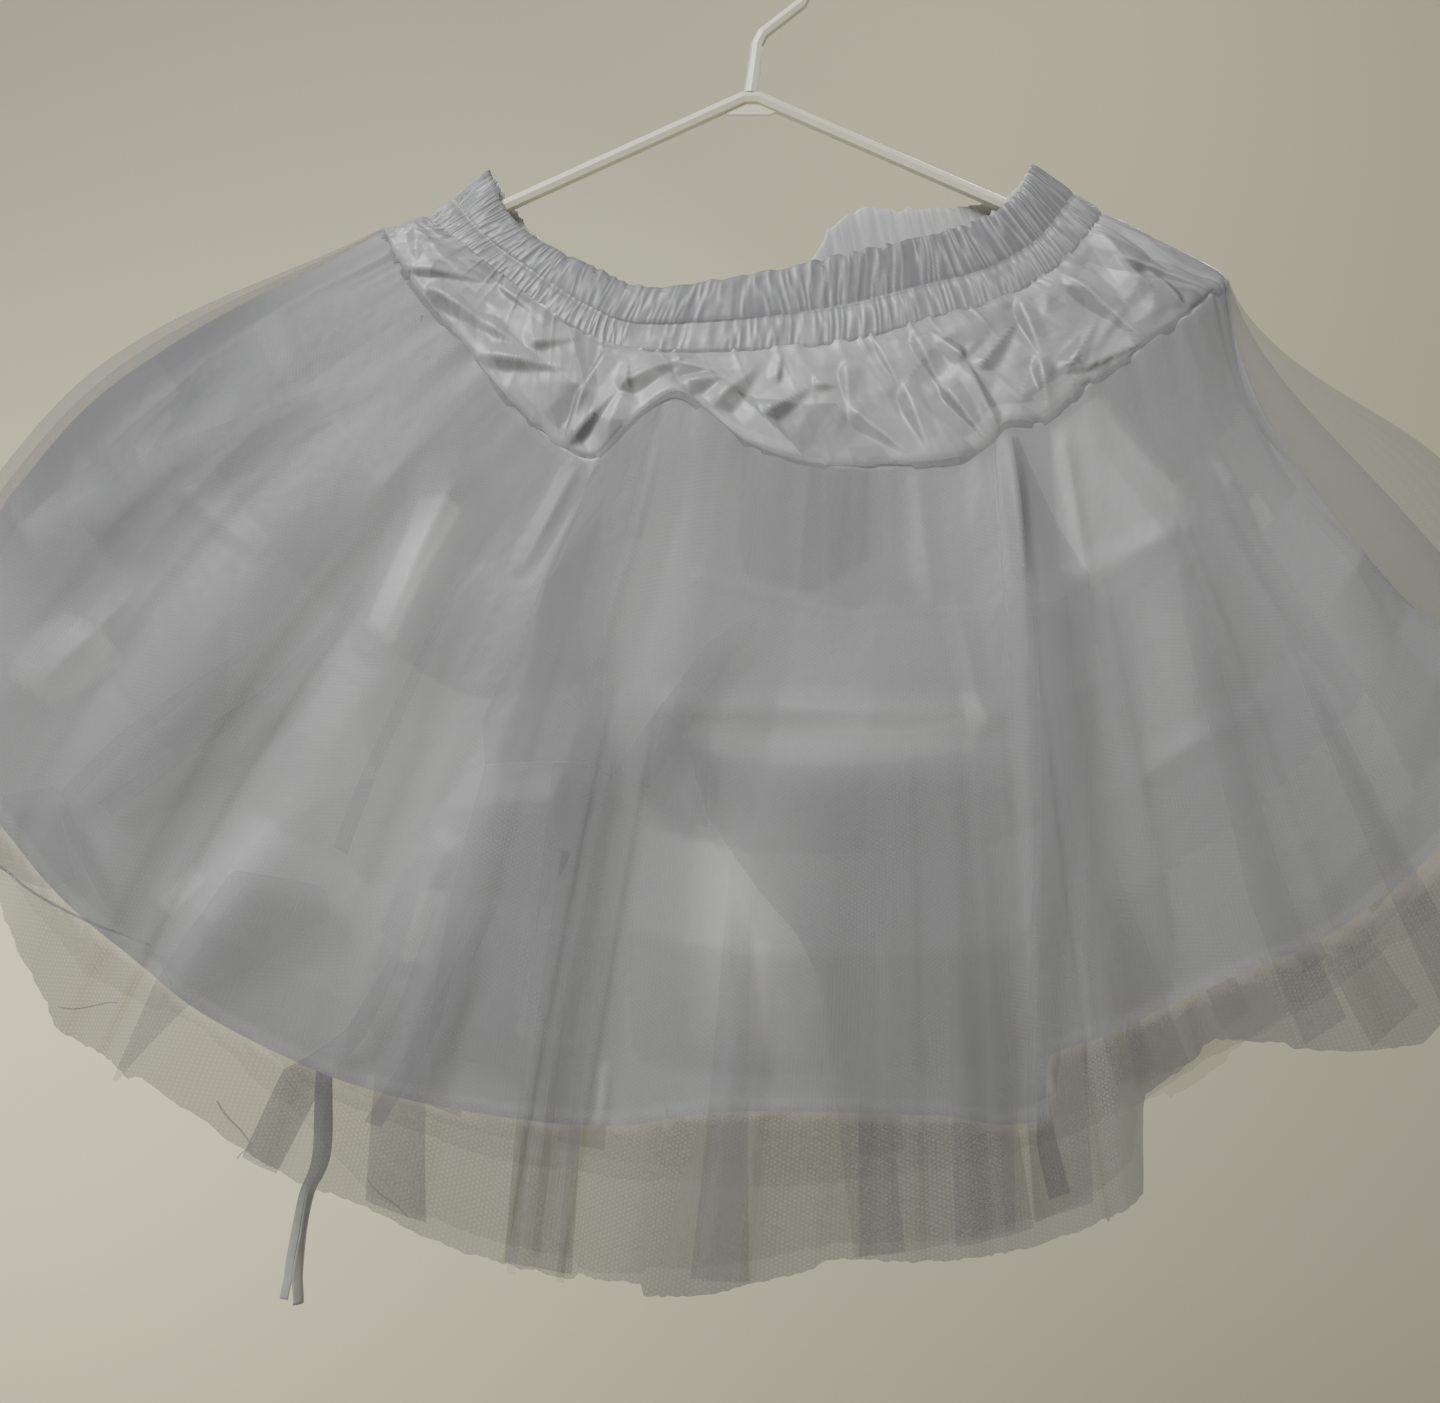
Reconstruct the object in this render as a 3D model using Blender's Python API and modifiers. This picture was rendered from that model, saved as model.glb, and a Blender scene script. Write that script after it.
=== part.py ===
"""A gathered net skirt that hangs by its elastic waistband from a tube clothes hanger.

Metres, +Z up, and the front looks towards -Y.  The origin is the inside top of the hook, where a
rail or a peg carries it.  Tables are in millimetres and degrees; MM turns them into metres.

Every cloth piece is worked out on rings round the skirt.  On a ring, "across" runs from 0 at the
left side fold to 1 at the right one, once over the front and once over the back.  The columns
of the skirt's grids run along its pleats, so that every foot and crest is a clean line.
"""

import math
from collections import namedtuple

import bpy
import numpy as np

MM = 0.001

# Cloth walls and the gap that two pieces keep at a seam.
BAND_WALL = 2.4 * MM
YOKE_WALL = 1.4 * MM
LINING_WALL = 1.2 * MM
NET_WALL = 1.0 * MM
SEAM_GAP = 0.4 * MM

# The hanger.
TUBE_RADIUS = 4.4 * MM
HOOK_RADIUS = 31.0 * MM        # to the middle of the rod
NECK_RADIUS = 4.0 * MM
APEX = (-4.0 * MM, -98.0 * MM)
ARM_TIP = (188.2 * MM, -181.5 * MM)
WEB_THICKNESS = 3.0 * MM

# The skirt spreads like a fan about the hub; every full hem lies near this distance from it.
HUB = (-4.0 * MM, -194.0 * MM)
FULL_REACH = 608.0 * MM
ROUNDNESS = 2.35               # 2 gives elliptic rings, more gives blunter side folds

FRONT_GATHERS, BACK_GATHERS = 40, 32     # of the waistband; each has a crest and a furrow
WAIST_GATHER_HEIGHT = 2.3 * MM
INNER_EVERY = 4                # the band's plain inside has every fourth of its outer columns
YOKE_FOLDS = 15                # on each half of the yoke
YOKE_ROWS = 5
SEAM_GATHERS = 7               # on each half of the hip seam
SEAM_GATHER_HEIGHT = 2.2 * MM
FOLD_COLUMNS = (0.0, 0.004, 0.013)       # columns that round a side fold, from either end
LEAST_COLUMN = 0.005           # of the way across


def table(names, *rows):
    """The named columns of a short table, as arrays."""
    return {name: np.array(column, float) for name, column in zip(names.split(), zip(*rows))}


# How far the cloth stands from the hanger's plane, by the distance below the waistband's top.
DEPTHS = table(
    "below  front  back",
    (0,     14,    13),
    (48,    20,    17),
    (113,   34,    25),
    (300,   62,    36),
    (590,   84,    46),
)

# Levels down the cloth: the waistband's top, its low edge, the hip seam and full reach.
TOP, LOW, SEAM, FULL = 0, 1, 2, 3
LEVEL_BELOW = (0.0, 48.0, 113.0, 590.0)

# The waistband sags between the arms and stands up in an ear over each of them.
BAND_FRONT = table(
    "across  top_x  top_z  low_x  low_z",
    (0.00,   -167,  -146,  -203,  -177),
    (0.08,   -153,  -176,  -180,  -196),
    (0.16,   -130,  -194,  -152,  -218),
    (0.28,   -95,   -211,  -112,  -248),
    (0.37,   -72,   -221,  -84,   -260),
    (0.50,   -10,   -215,  -14,   -262),
    (0.62,   45,    -204,  50,    -257),
    (0.74,   90,    -193,  104,   -243),
    (0.86,   135,   -180,  157,   -226),
    (0.94,   160,   -163,  190,   -203),
    (1.00,   172,   -142,  213,   -174),
)
BAND_BACK = table(
    "across  top_x  top_z  low_x  low_z",
    (0.00,   -167,  -146,  -203,  -177),
    (0.10,   -140,  -182,  -170,  -212),
    (0.25,   -90,   -213,  -106,  -253),
    (0.40,   -22,   -224,  -28,   -267),
    (0.50,   24,    -213,  25,    -263),
    (0.57,   48,    -177,  62,    -248),
    (0.70,   92,    -167,  108,   -225),
    (0.85,   140,   -164,  162,   -205),
    (0.94,   160,   -158,  192,   -192),
    (1.00,   172,   -142,  213,   -174),
)

# The hip seam under the yoke, and what hangs from it: the direction of each fall of cloth from
# the hub, and how far from the hub the lining and the two nets reach.
SKIRT_FRONT = table(
    "across  seam_x  seam_z  angle  lining  inner_net  outer_net",
    (0.000,  -231,   -183,   -58,   544,    556,       566),
    (0.045,  -218,   -208,   -55,   552,    561,       569),
    (0.130,  -185,   -251,   -47,   558,    568,       578),
    (0.200,  -154,   -289,   -40,   556,    576,       603),
    (0.280,  -115,   -325,   -33,   555,    578,       602),
    (0.325,  -92,    -331,   -25,   550,    580,       606),
    (0.400,  -49,    -301,   -15,   536,    580,       610),
    (0.475,  -11,    -319,   -8,    526,    578,       612),
    (0.530,  24,     -331,   -3,    515,    576,       608),
    (0.590,  60,     -334,   4,     518,    572,       593),
    (0.640,  95,     -332,   10,    530,    574,       602),
    (0.712,  140,    -319,   16,    550,    576,       606),
    (0.728,  146,    -317,   18,    520,    574,       605),
    (0.772,  173,    -304,   21,    524,    566,       585),
    (0.788,  181,    -298,   23,    526,    560,       566),
    (0.845,  211,    -275,   32,    535,    560,       572),
    (0.945,  264,    -238,   50,    558,    574,       600),
    (1.000,  290,    -215,   60,    560,    570,       584),
)
SKIRT_BACK = table(
    "across  seam_x  seam_z  angle  lining  inner_net  outer_net",
    (0.00,   -231,   -183,   -58,   544,    556,       566),
    (0.12,   -196,   -240,   -46,   540,    564,       578),
    (0.30,   -112,   -302,   -28,   530,    576,       604),
    (0.50,   14,     -326,   0,     520,    572,       598),
    (0.70,   134,    -306,   27,    526,    576,       606),
    (0.88,   236,    -256,   46,    540,    574,       598),
    (1.00,   290,    -215,   60,    560,    570,       584),
)

# How far each fall of cloth bows out of a straight line, up and outwards.
BOW = table(
    "across  bow",
    (0.00,   46),
    (0.12,   34),
    (0.35,   6),
    (0.60,   0),
    (0.85,   -12),
    (1.00,   -28),
)

# Folds that every layer takes part in: where they leave the seam and reach the hem, how wide
# and high they are, and how far down (0 seam, 1 hem) they begin.  Crisp -1 makes the left side
# steep, 1 the right side, 2 both, and 0 neither.
PLEAT_NAMES = "seam   hem    half   height  begins  crisp"
LARGE_FRONT = table(
    PLEAT_NAMES,
    (0.070,   0.060,  0.050,  9,      0.20,   0),
    (0.165,   0.180,  0.045,  12,     0.10,   1),
    (0.262,   0.275,  0.030,  9,      0.02,   1),
    (0.525,   0.520,  0.200,  11,     0.00,   1),
    (0.415,   0.400,  0.040,  6,      0.35,   -1),
    (0.560,   0.560,  0.045,  5,      0.45,   0),
    (0.660,   0.668,  0.042,  6,      0.30,   1),
    (0.770,   0.768,  0.026,  7,      0.00,   -1),
    (0.855,   0.850,  0.040,  11,     0.05,   -1),
    (0.945,   0.940,  0.034,  9,      0.15,   0),
)
LARGE_BACK = table(
    PLEAT_NAMES,
    (0.110,   0.110,  0.060,  8,      0.15,   0),
    (0.255,   0.265,  0.055,  9,      0.05,   1),
    (0.420,   0.430,  0.050,  7,      0.10,   0),
    (0.600,   0.590,  0.060,  9,      0.05,   -1),
    (0.760,   0.765,  0.045,  8,      0.10,   1),
    (0.900,   0.900,  0.040,  8,      0.20,   0),
)

# Pleats of one layer alone.
LINING_FRONT = table(
    PLEAT_NAMES,
    (0.110,   0.105,  0.022,  4,      0.05,   1),
    (0.225,   0.235,  0.018,  4,      0.08,   -1),
    (0.345,   0.360,  0.018,  4,      0.08,   0),
    (0.468,   0.465,  0.020,  4,      0.50,   1),
    (0.610,   0.612,  0.018,  4,      0.40,   0),
    (0.745,   0.748,  0.014,  4,      0.08,   1),
    (0.815,   0.812,  0.018,  4,      0.08,   -1),
    (0.905,   0.895,  0.020,  4,      0.05,   0),
)
LINING_BACK = table(
    PLEAT_NAMES,
    (0.180,   0.180,  0.022,  4,      0.05,   0),
    (0.340,   0.350,  0.022,  4,      0.08,   1),
    (0.500,   0.510,  0.022,  4,      0.20,   0),
    (0.680,   0.680,  0.022,  4,      0.05,   -1),
    (0.840,   0.835,  0.022,  4,      0.10,   0),
)
INNER_FRONT = table(
    PLEAT_NAMES,
    (0.085,   0.090,  0.026,  5,      0.05,   0),
    (0.205,   0.200,  0.024,  5,      0.05,   1),
    (0.300,   0.335,  0.022,  5,      0.00,   -1),
    (0.500,   0.505,  0.026,  5,      0.30,   1),
    (0.640,   0.645,  0.022,  5,      0.10,   0),
    (0.790,   0.800,  0.022,  5,      0.00,   1),
    (0.880,   0.875,  0.024,  5,      0.05,   0),
)
INNER_BACK = table(
    PLEAT_NAMES,
    (0.140,   0.145,  0.028,  5,      0.05,   0),
    (0.300,   0.310,  0.028,  5,      0.00,   1),
    (0.470,   0.470,  0.028,  5,      0.20,   0),
    (0.640,   0.640,  0.028,  5,      0.05,   -1),
    (0.800,   0.800,  0.028,  5,      0.10,   0),
)
OUTER_FRONT = table(
    PLEAT_NAMES,
    (0.030,   0.028,  0.018,  8,      0.08,   0),
    (0.072,   0.072,  0.020,  9,      0.05,   1),
    (0.116,   0.118,  0.020,  11,     0.02,   1),
    (0.158,   0.160,  0.016,  9,      0.00,   -1),
    (0.192,   0.196,  0.014,  9,      0.05,   1),
    (0.222,   0.228,  0.012,  14,     0.10,   1),
    (0.256,   0.264,  0.018,  8,      0.00,   -1),
    (0.294,   0.304,  0.013,  13,     0.00,   1),
    (0.324,   0.332,  0.010,  10,     0.00,   -1),
    (0.356,   0.364,  0.014,  12,     0.15,   2),
    (0.402,   0.411,  0.008,  13,     0.20,   1),
    (0.420,   0.428,  0.007,  14,     0.20,   -1),
    (0.438,   0.444,  0.008,  13,     0.20,   1),
    (0.488,   0.490,  0.022,  8,      0.25,   0),
    (0.538,   0.542,  0.014,  11,     0.30,   2),
    (0.580,   0.582,  0.016,  7,      0.30,   0),
    (0.620,   0.621,  0.012,  10,     0.20,   2),
    (0.655,   0.656,  0.013,  7,      0.10,   0),
    (0.690,   0.692,  0.019,  10,     0.05,   2),
    (0.731,   0.732,  0.009,  14,     0.00,   1),
    (0.760,   0.760,  0.013,  9,      0.00,   -1),
    (0.797,   0.797,  0.011,  12,     0.00,   1),
    (0.828,   0.828,  0.015,  9,      0.00,   -1),
    (0.862,   0.862,  0.013,  11,     0.02,   1),
    (0.893,   0.893,  0.012,  11,     0.03,   1),
    (0.932,   0.932,  0.018,  9,      0.05,   0),
    (0.970,   0.970,  0.014,  8,      0.10,   0),
)
OUTER_BACK = table(
    PLEAT_NAMES,
    (0.035,   0.035,  0.022,  8,      0.08,   0),
    (0.090,   0.092,  0.026,  9,      0.05,   1),
    (0.150,   0.155,  0.028,  10,     0.02,   1),
    (0.215,   0.222,  0.026,  9,      0.00,   -1),
    (0.280,   0.286,  0.028,  10,     0.00,   1),
    (0.345,   0.350,  0.026,  9,      0.05,   2),
    (0.410,   0.414,  0.026,  10,     0.05,   1),
    (0.480,   0.480,  0.030,  8,      0.10,   0),
    (0.550,   0.550,  0.026,  10,     0.05,   -1),
    (0.615,   0.612,  0.026,  9,      0.02,   2),
    (0.680,   0.676,  0.028,  10,     0.00,   -1),
    (0.745,   0.742,  0.026,  10,     0.00,   1),
    (0.805,   0.803,  0.024,  9,      0.03,   -1),
    (0.860,   0.860,  0.024,  9,      0.03,   1),
    (0.915,   0.915,  0.022,  9,      0.05,   0),
    (0.965,   0.965,  0.018,  8,      0.10,   0),
)

# Each layer of the skirt: its wall, where it lies at the seam, how far it stands off the lining
# at full fall over the panels and at the two side folds, and its pleats.
LAYERS = {
    "lining": dict(wall=LINING_WALL, seam=0.0, off=0.0, left=0.0, right=0.0, fray=0.0,
                   front=LINING_FRONT, back=LINING_BACK, rows=5),
    "inner_net": dict(wall=NET_WALL, seam=1.7 * MM, off=7.0 * MM, left=6.0 * MM, right=20.0 * MM,
                      fray=2.0 * MM, front=INNER_FRONT, back=INNER_BACK, rows=4),
    "outer_net": dict(wall=NET_WALL, seam=3.4 * MM, off=13.5 * MM, left=18.0 * MM, right=46.0 * MM,
                      fray=3.5 * MM, front=OUTER_FRONT, back=OUTER_BACK, rows=7),
}

# The tape hangs inside the lining from the left of the hip seam and shows below the hems.
TAPE_ROUTE = table(
    "x     y    z",
    (-204, -20.2, -240),
    (-207, -20, -262),
    (-216, -18, -340),
    (-226, -22, -430),
    (-238, -27, -530),
    (-246, -30, -620),
    (-248, -32, -690),
    (-249, -32, -745),
    (-261, -33, -768),
    (-268, -33, -800),
    (-270, -32, -832),
)
TAPE_WIDTH = 11.0 * MM
TAPE_WALL = 1.2 * MM
TAPE_FOLD = 2.5 * MM           # height of its lengthwise fold
TAPE_STEPS = 22


def smooth(at, stations, values):
    """A curve through a table: cubic pieces that share the mean slope at each station."""
    slopes = np.gradient(values, stations)
    left = np.clip(np.searchsorted(stations, at) - 1, 0, len(stations) - 2)
    run = stations[left + 1] - stations[left]
    f = (at - stations[left]) / run
    return ((1 + 2 * f) * (1 - f) ** 2 * values[left] + f * (1 - f) ** 2 * run * slopes[left]
            + f * f * (3 - 2 * f) * values[left + 1] - f * f * (1 - f) * run * slopes[left + 1])


def ease(value):
    """Smooth step from 0 at 0 to 1 at 1."""
    value = np.clip(value, 0, 1)
    return value * value * (3 - 2 * value)


# Columns round a closed ring: where each lies across at the seam and at the hem, its side (-1
# front, 1 back), and how many columns the front has from fold to fold.
Ring = namedtuple("Ring", "seam hem side front")


def rises(crisp):
    """Widths of a pleat's two slopes, as shares of its half width."""
    left = np.select([crisp == 0, crisp == 1], [1.0, 1.6], 0.4)
    right = np.select([crisp == 0, crisp == -1], [1.0, 1.6], 0.4)
    return left, right


def pleat_columns(rows):
    """Seam and hem places of the columns along each pleat's feet and crest, and at the side folds."""
    left, right = rises(rows["crisp"])
    steps = np.stack([-np.ones(len(left)), left - 1, 1 - right, np.ones(len(left))], 1)
    seam = (rows["seam"][:, None] + rows["half"][:, None] * steps).ravel()
    hem = (rows["hem"][:, None] + rows["half"][:, None] * steps).ravel()
    ends = np.array(FOLD_COLUMNS)
    keep = (seam > ends[-1] + LEAST_COLUMN) & (seam < 1 - ends[-1] - LEAST_COLUMN)
    keep[1:] &= np.diff(seam) > LEAST_COLUMN
    return [np.concatenate([ends, places[keep], 1 - ends[::-1]]) for places in (seam, hem)]


def skirt_ring():
    """The ring whose columns run along the outer net's pleats."""
    front, back = pleat_columns(OUTER_FRONT), pleat_columns(OUTER_BACK)
    seam, hem = (np.concatenate([f, b[-2:0:-1]]) for f, b in zip(front, back))
    side = np.concatenate([-np.ones(len(front[0])), np.ones(len(back[0]) - 2)])
    return Ring(seam, hem, side, len(front[0]))


def band_ring():
    """The ring of the waistband's gathers, which lie closer together at the side folds."""
    def spread(gathers):
        even = np.linspace(0, 1, 2 * gathers + 1)
        return 0.6 * even + 0.4 * (0.5 - 0.5 * np.cos(np.pi * even))
    front, back = spread(FRONT_GATHERS), spread(BACK_GATHERS)
    across = np.concatenate([front, back[-2:0:-1]])
    side = np.concatenate([-np.ones(len(front)), np.ones(len(back) - 2)])
    return Ring(across, across, side, len(front))


def by_side(side, across, front, back, name):
    """A named column of the front's or the back's table, read at each column of a ring."""
    return np.where(side < 0, smooth(across, front["across"], front[name]),
                    smooth(across, back["across"], back[name])) * MM


def depth_at(below, across, side):
    """Distance along Y from the hanger's plane: full in the middle, none at the side folds."""
    rounded = (1 - np.abs(2 * across - 1) ** ROUNDNESS) ** (1 / ROUNDNESS)
    front = smooth(below, DEPTHS["below"], DEPTHS["front"])
    back = smooth(below, DEPTHS["below"], DEPTHS["back"])
    return side * np.where(side < 0, front, back) * rounded * MM


def edge(table_front, table_back, name, across, side):
    """X and Z of a named line of the tables, such as the hip seam, round the ring."""
    return np.stack([by_side(side, across, table_front, table_back, name + "_x"),
                     by_side(side, across, table_front, table_back, name + "_z")])


def fall(down, start, across, side):
    """X and Z on the skirt's fan: a bowed line from the seam (down 0) to full reach (down 1)."""
    angle = np.radians(by_side(side, across, SKIRT_FRONT, SKIRT_BACK, "angle") / MM)
    end = np.stack([HUB[0] + FULL_REACH * np.sin(angle), HUB[1] - FULL_REACH * np.cos(angle)])
    run = end - start
    aside = np.stack([run[1], -run[0]]) / np.hypot(*run) * np.where(across < 0.5, 1, -1)
    bow = smooth(across, BOW["across"], BOW["bow"]) * MM * 4 * down * (1 - down)
    return start + run * down + aside * bow


def base_points(level, across, side):
    """Points of the unfolded cloth at each level and column: waistband, yoke, then skirt."""
    top = edge(BAND_FRONT, BAND_BACK, "top", across, side)
    low = edge(BAND_FRONT, BAND_BACK, "low", across, side)
    seam = edge(SKIRT_FRONT, SKIRT_BACK, "seam", across, side)
    x, z = np.where(level <= LOW, top + (low - top) * level,
                    np.where(level <= SEAM, low + (seam - low) * (level - LOW),
                             fall(level - SEAM, seam, across, side)))
    y = depth_at(np.interp(level, (TOP, LOW, SEAM, FULL), LEVEL_BELOW), across, side)
    return np.stack([x, y, z], axis=2)


def normals(down, around):
    """Unit normals that point out of the cloth, from its directions down and round the ring."""
    normal = np.cross(down, around)
    return normal / np.linalg.norm(normal, axis=2, keepdims=True)


def next_to(points):
    """The step from the column before to the column after, round a closed ring."""
    return np.roll(points, -1, axis=1) - np.roll(points, 1, axis=1)


def raised(level, lift, wall, across, side):
    """Outer and inner grids of a wall whose middle is lifted off the unfolded cloth.

    Both lie along the unfolded cloth's normals, further apart where the lift is steep, so the
    wall keeps its thickness there and never crosses itself.
    """
    base = base_points(level, across, side)
    nudge = 0.01
    down = base_points(level + nudge, across, side) - base_points(level - nudge, across, side)
    normal = normals(down, next_to(base))
    middle = base + normal * lift[..., None]
    steep = normals(np.gradient(middle, axis=0), next_to(middle))
    half = wall / 2 / np.clip(np.sum(normal * steep, axis=2), 0.7, 1)
    return middle + normal * half[..., None], middle - normal * half[..., None]


def pleats(rows, across, down):
    """Sum of a table's pleats: each rises from its feet to its crest and grows as it goes down."""
    total = np.zeros(across.shape)
    for seam, hem, half, height, begins, crisp in zip(*(rows[name] for name in PLEAT_NAMES.split())):
        place = (across - (seam + (hem - seam) * down)) / half
        left, right = rises(crisp)
        shape = np.clip(np.minimum((place + 1) / left, (1 - place) / right), 0, 1)
        total += height * MM * shape * ease((down - begins) / 0.4)
    return total


def fold_relief(front, back, across, side, down):
    """Pleats of the front's table on the front and of the back's on the back."""
    return np.where(side < 0, pleats(front, across, down), pleats(back, across, down))


def seam_gathers(level, across):
    """Small gathers that every piece shares at the hip seam, and that fade away from it."""
    wave = 0.5 + 0.5 * np.sin(2 * np.pi * SEAM_GATHERS * (across + 0.01 * np.sin(11 * across)))
    return SEAM_GATHER_HEIGHT * wave * np.exp(-np.abs(level - SEAM) / 0.18)


def half_of(grid, last, which):
    """The front or back half of a grid of rings, its ends drawn in by half a seam's gap."""
    half = grid[:, :last + 1] if which == "front" else np.concatenate([grid[:, last:], grid[:, :1]], 1)
    half = half.copy()
    for end, inner in ((0, 1), (-1, -2)):
        step = half[:, inner] - half[:, end]
        half[:, end] += step * (SEAM_GAP / 2) / np.linalg.norm(step, axis=1, keepdims=True)
    return half


def skirt_walls(layer):
    """Outer and inner grids of one layer of the skirt, from the seam to its hem, and the front's share."""
    made = LAYERS[layer]
    ring = skirt_ring()
    seam_edge = edge(SKIRT_FRONT, SKIRT_BACK, "seam", ring.seam, ring.side)
    seam_reach = np.hypot(seam_edge[0] - HUB[0], seam_edge[1] - HUB[1])
    index = np.arange(len(ring.side))
    reach = by_side(ring.side, ring.hem, SKIRT_FRONT, SKIRT_BACK, layer)
    reach = reach + made["fray"] * (np.sin(index * 2.4) + 0.6 * np.sin(index * 5.1 + 1))
    hem = (reach - seam_reach) / (FULL_REACH - seam_reach)
    down = np.linspace(0, 1, made["rows"] + 1)[:, None] ** 1.15 * hem
    across = ring.seam + (ring.hem - ring.seam) * down
    side = ring.side + 0 * down
    room = ease(down / 0.45)
    to_side = np.abs(2 * across - 1) ** 4
    at_side = np.where(across < 0.5, made["left"], made["right"]) * to_side * ease(down / 0.5)
    lift = made["seam"] + made["off"] * room + at_side + seam_gathers(SEAM + down, across)
    lift = lift + fold_relief(LARGE_FRONT, LARGE_BACK, across, side, down)
    lift = lift + fold_relief(made["front"], made["back"], across, side, down)
    outer, inner = raised(SEAM + down, lift, made["wall"], across, side)
    return outer, inner, ring.front - 1, 1


def yoke_walls():
    """Outer and inner grids of the yoke: puckered folds between the waistband and the hip seam."""
    ring = skirt_ring()
    low = edge(BAND_FRONT, BAND_BACK, "low", ring.seam, ring.side)
    seam = edge(SKIRT_FRONT, SKIRT_BACK, "seam", ring.seam, ring.side)
    trim = SEAM_GAP / np.hypot(*(seam - low))
    down = 1.5 * trim + (1 - 2.5 * trim) * np.linspace(0, 1, YOKE_ROWS + 1)[:, None]
    across = ring.seam + 0 * down
    beat = YOKE_FOLDS * (across + 0.012 * np.sin(9 * across + ring.side))
    slant = 0.9 * np.sin(5 * across + 1) * (down - 0.5)
    height = (5.2 + 1.6 * np.sin(31 * across)) * MM * np.sin(np.pi * down)
    lift = 0.8 * MM + height * (0.5 + 0.5 * np.sin(2 * np.pi * (beat + slant)))
    lift = lift + seam_gathers(LOW + down, across)
    outer, inner = raised(LOW + down, lift, YOKE_WALL, across, ring.side + 0 * down)
    return outer, inner, ring.front - 1, 1


def band_walls():
    """The waistband's outer grid, gathered in two rows, and its plain inner grid."""
    rows = table(
        "down  swell  gather",
        (0.00, 0.0,   0.5),
        (0.12, 1.1,   1.0),
        (0.45, 1.1,   0.9),
        (0.56, -0.6,  0.0),
        (0.74, 0.9,   1.0),
        (1.00, 0.0,   0.1),
    )
    ring = band_ring()
    level = rows["down"][:, None] + 0 * ring.side
    outer, inner = raised(level, 0 * level, BAND_WALL, ring.seam + 0 * level, ring.side + 0 * level)
    index = np.arange(len(ring.side))
    uneven = 1 + 0.25 * np.sin(index * 1.7) + 0.2 * np.sin(index * 0.61 + 2)
    ridges = WAIST_GATHER_HEIGHT * (index % 2) * uneven
    lift = rows["swell"][:, None] * MM + rows["gather"][:, None] * ridges
    outer = outer + (outer - inner) / BAND_WALL * lift[..., None]
    return outer, inner, ring.front - 1, INNER_EVERY


def grid_faces(rows, columns, first=0):
    """Triangles of a grid numbered row by row from first, every cell cut along the same diagonal."""
    corner = first + np.arange(rows - 1)[:, None] * columns + np.arange(columns - 1)[None, :]
    corner = corner.ravel()
    upper = np.stack([corner, corner + columns, corner + 1], 1)
    lower = np.stack([corner + columns, corner + columns + 1, corner + 1], 1)
    return upper.tolist() + lower.tolist()


def closed_wall(name, outer, inner, material, collection):
    """A closed wall between an outer grid and an inner one that has all or some of its columns."""
    rows, fine = outer.shape[:2]
    coarse = inner.shape[1]
    every = (fine - 1) // (coarse - 1)
    faces = grid_faces(rows, fine)
    faces += [face[::-1] for face in grid_faces(rows, coarse, rows * fine)]
    middle = every // 2
    for row, turn in ((0, 1), (rows - 1, -1)):
        for bay in range(coarse - 1):
            near = row * fine + bay * every
            far = rows * fine + row * coarse + bay
            rim = [(near + i, near + i + 1, far) for i in range(middle)]
            rim += [(near + middle, far + 1, far)]
            rim += [(near + i, near + i + 1, far + 1) for i in range(middle, every)]
            faces += [face[::turn] for face in rim]
    for column, other, turn in ((0, 0, 1), (fine - 1, coarse - 1, -1)):
        for row in range(rows - 1):
            near = row * fine + column
            far = rows * fine + row * coarse + other
            faces.append((near, far, far + coarse, near + fine)[::turn])
    mesh = bpy.data.meshes.new(name)
    mesh.from_pydata(np.concatenate([outer.reshape(-1, 3), inner.reshape(-1, 3)]).tolist(), [], faces)
    mesh.materials.append(material)
    mesh.shade_smooth()
    mesh.set_sharp_from_angle(angle=math.radians(28))
    made = bpy.data.objects.new(name, mesh)
    collection.objects.link(made)
    return made


def make_material(name, colour, roughness):
    """A Principled material of one colour."""
    made = bpy.data.materials.new(name)
    made.use_nodes = True
    shader = made.node_tree.nodes["Principled BSDF"]
    shader.inputs["Base Color"].default_value = (*colour, 1)
    shader.inputs["Roughness"].default_value = roughness
    return made


def tube(name, points, radius, tapers, material, collection):
    """A capped tube along points, as a mesh; tapers scales the radius at each point."""
    curve = bpy.data.curves.new(name, "CURVE")
    curve.dimensions = "3D"
    curve.bevel_depth = radius
    curve.bevel_resolution = 2
    curve.use_fill_caps = True
    spline = curve.splines.new("POLY")
    spline.points.add(len(points) - 1)
    for point, (x, z), taper in zip(spline.points, points, tapers):
        point.co = (x, 0, z, 1)
        point.radius = taper
    line = bpy.data.objects.new(name + "_line", curve)
    collection.objects.link(line)
    bpy.context.view_layer.update()
    mesh = bpy.data.meshes.new_from_object(line.evaluated_get(bpy.context.evaluated_depsgraph_get()))
    bpy.data.objects.remove(line)
    mesh.materials.clear()
    mesh.materials.append(material)
    made = bpy.data.objects.new(name, mesh)
    collection.objects.link(made)
    weld = made.modifiers.new("weld", "WELD")
    weld.merge_threshold = 0.00001
    return made


def arc(centre, radius, start, end, steps):
    """Points of an arc in X and Z, by angles in degrees from +X."""
    angles = np.radians(np.linspace(start, end, steps + 1))
    return [(centre[0] + radius * math.cos(a), centre[1] + radius * math.sin(a)) for a in angles]


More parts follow.
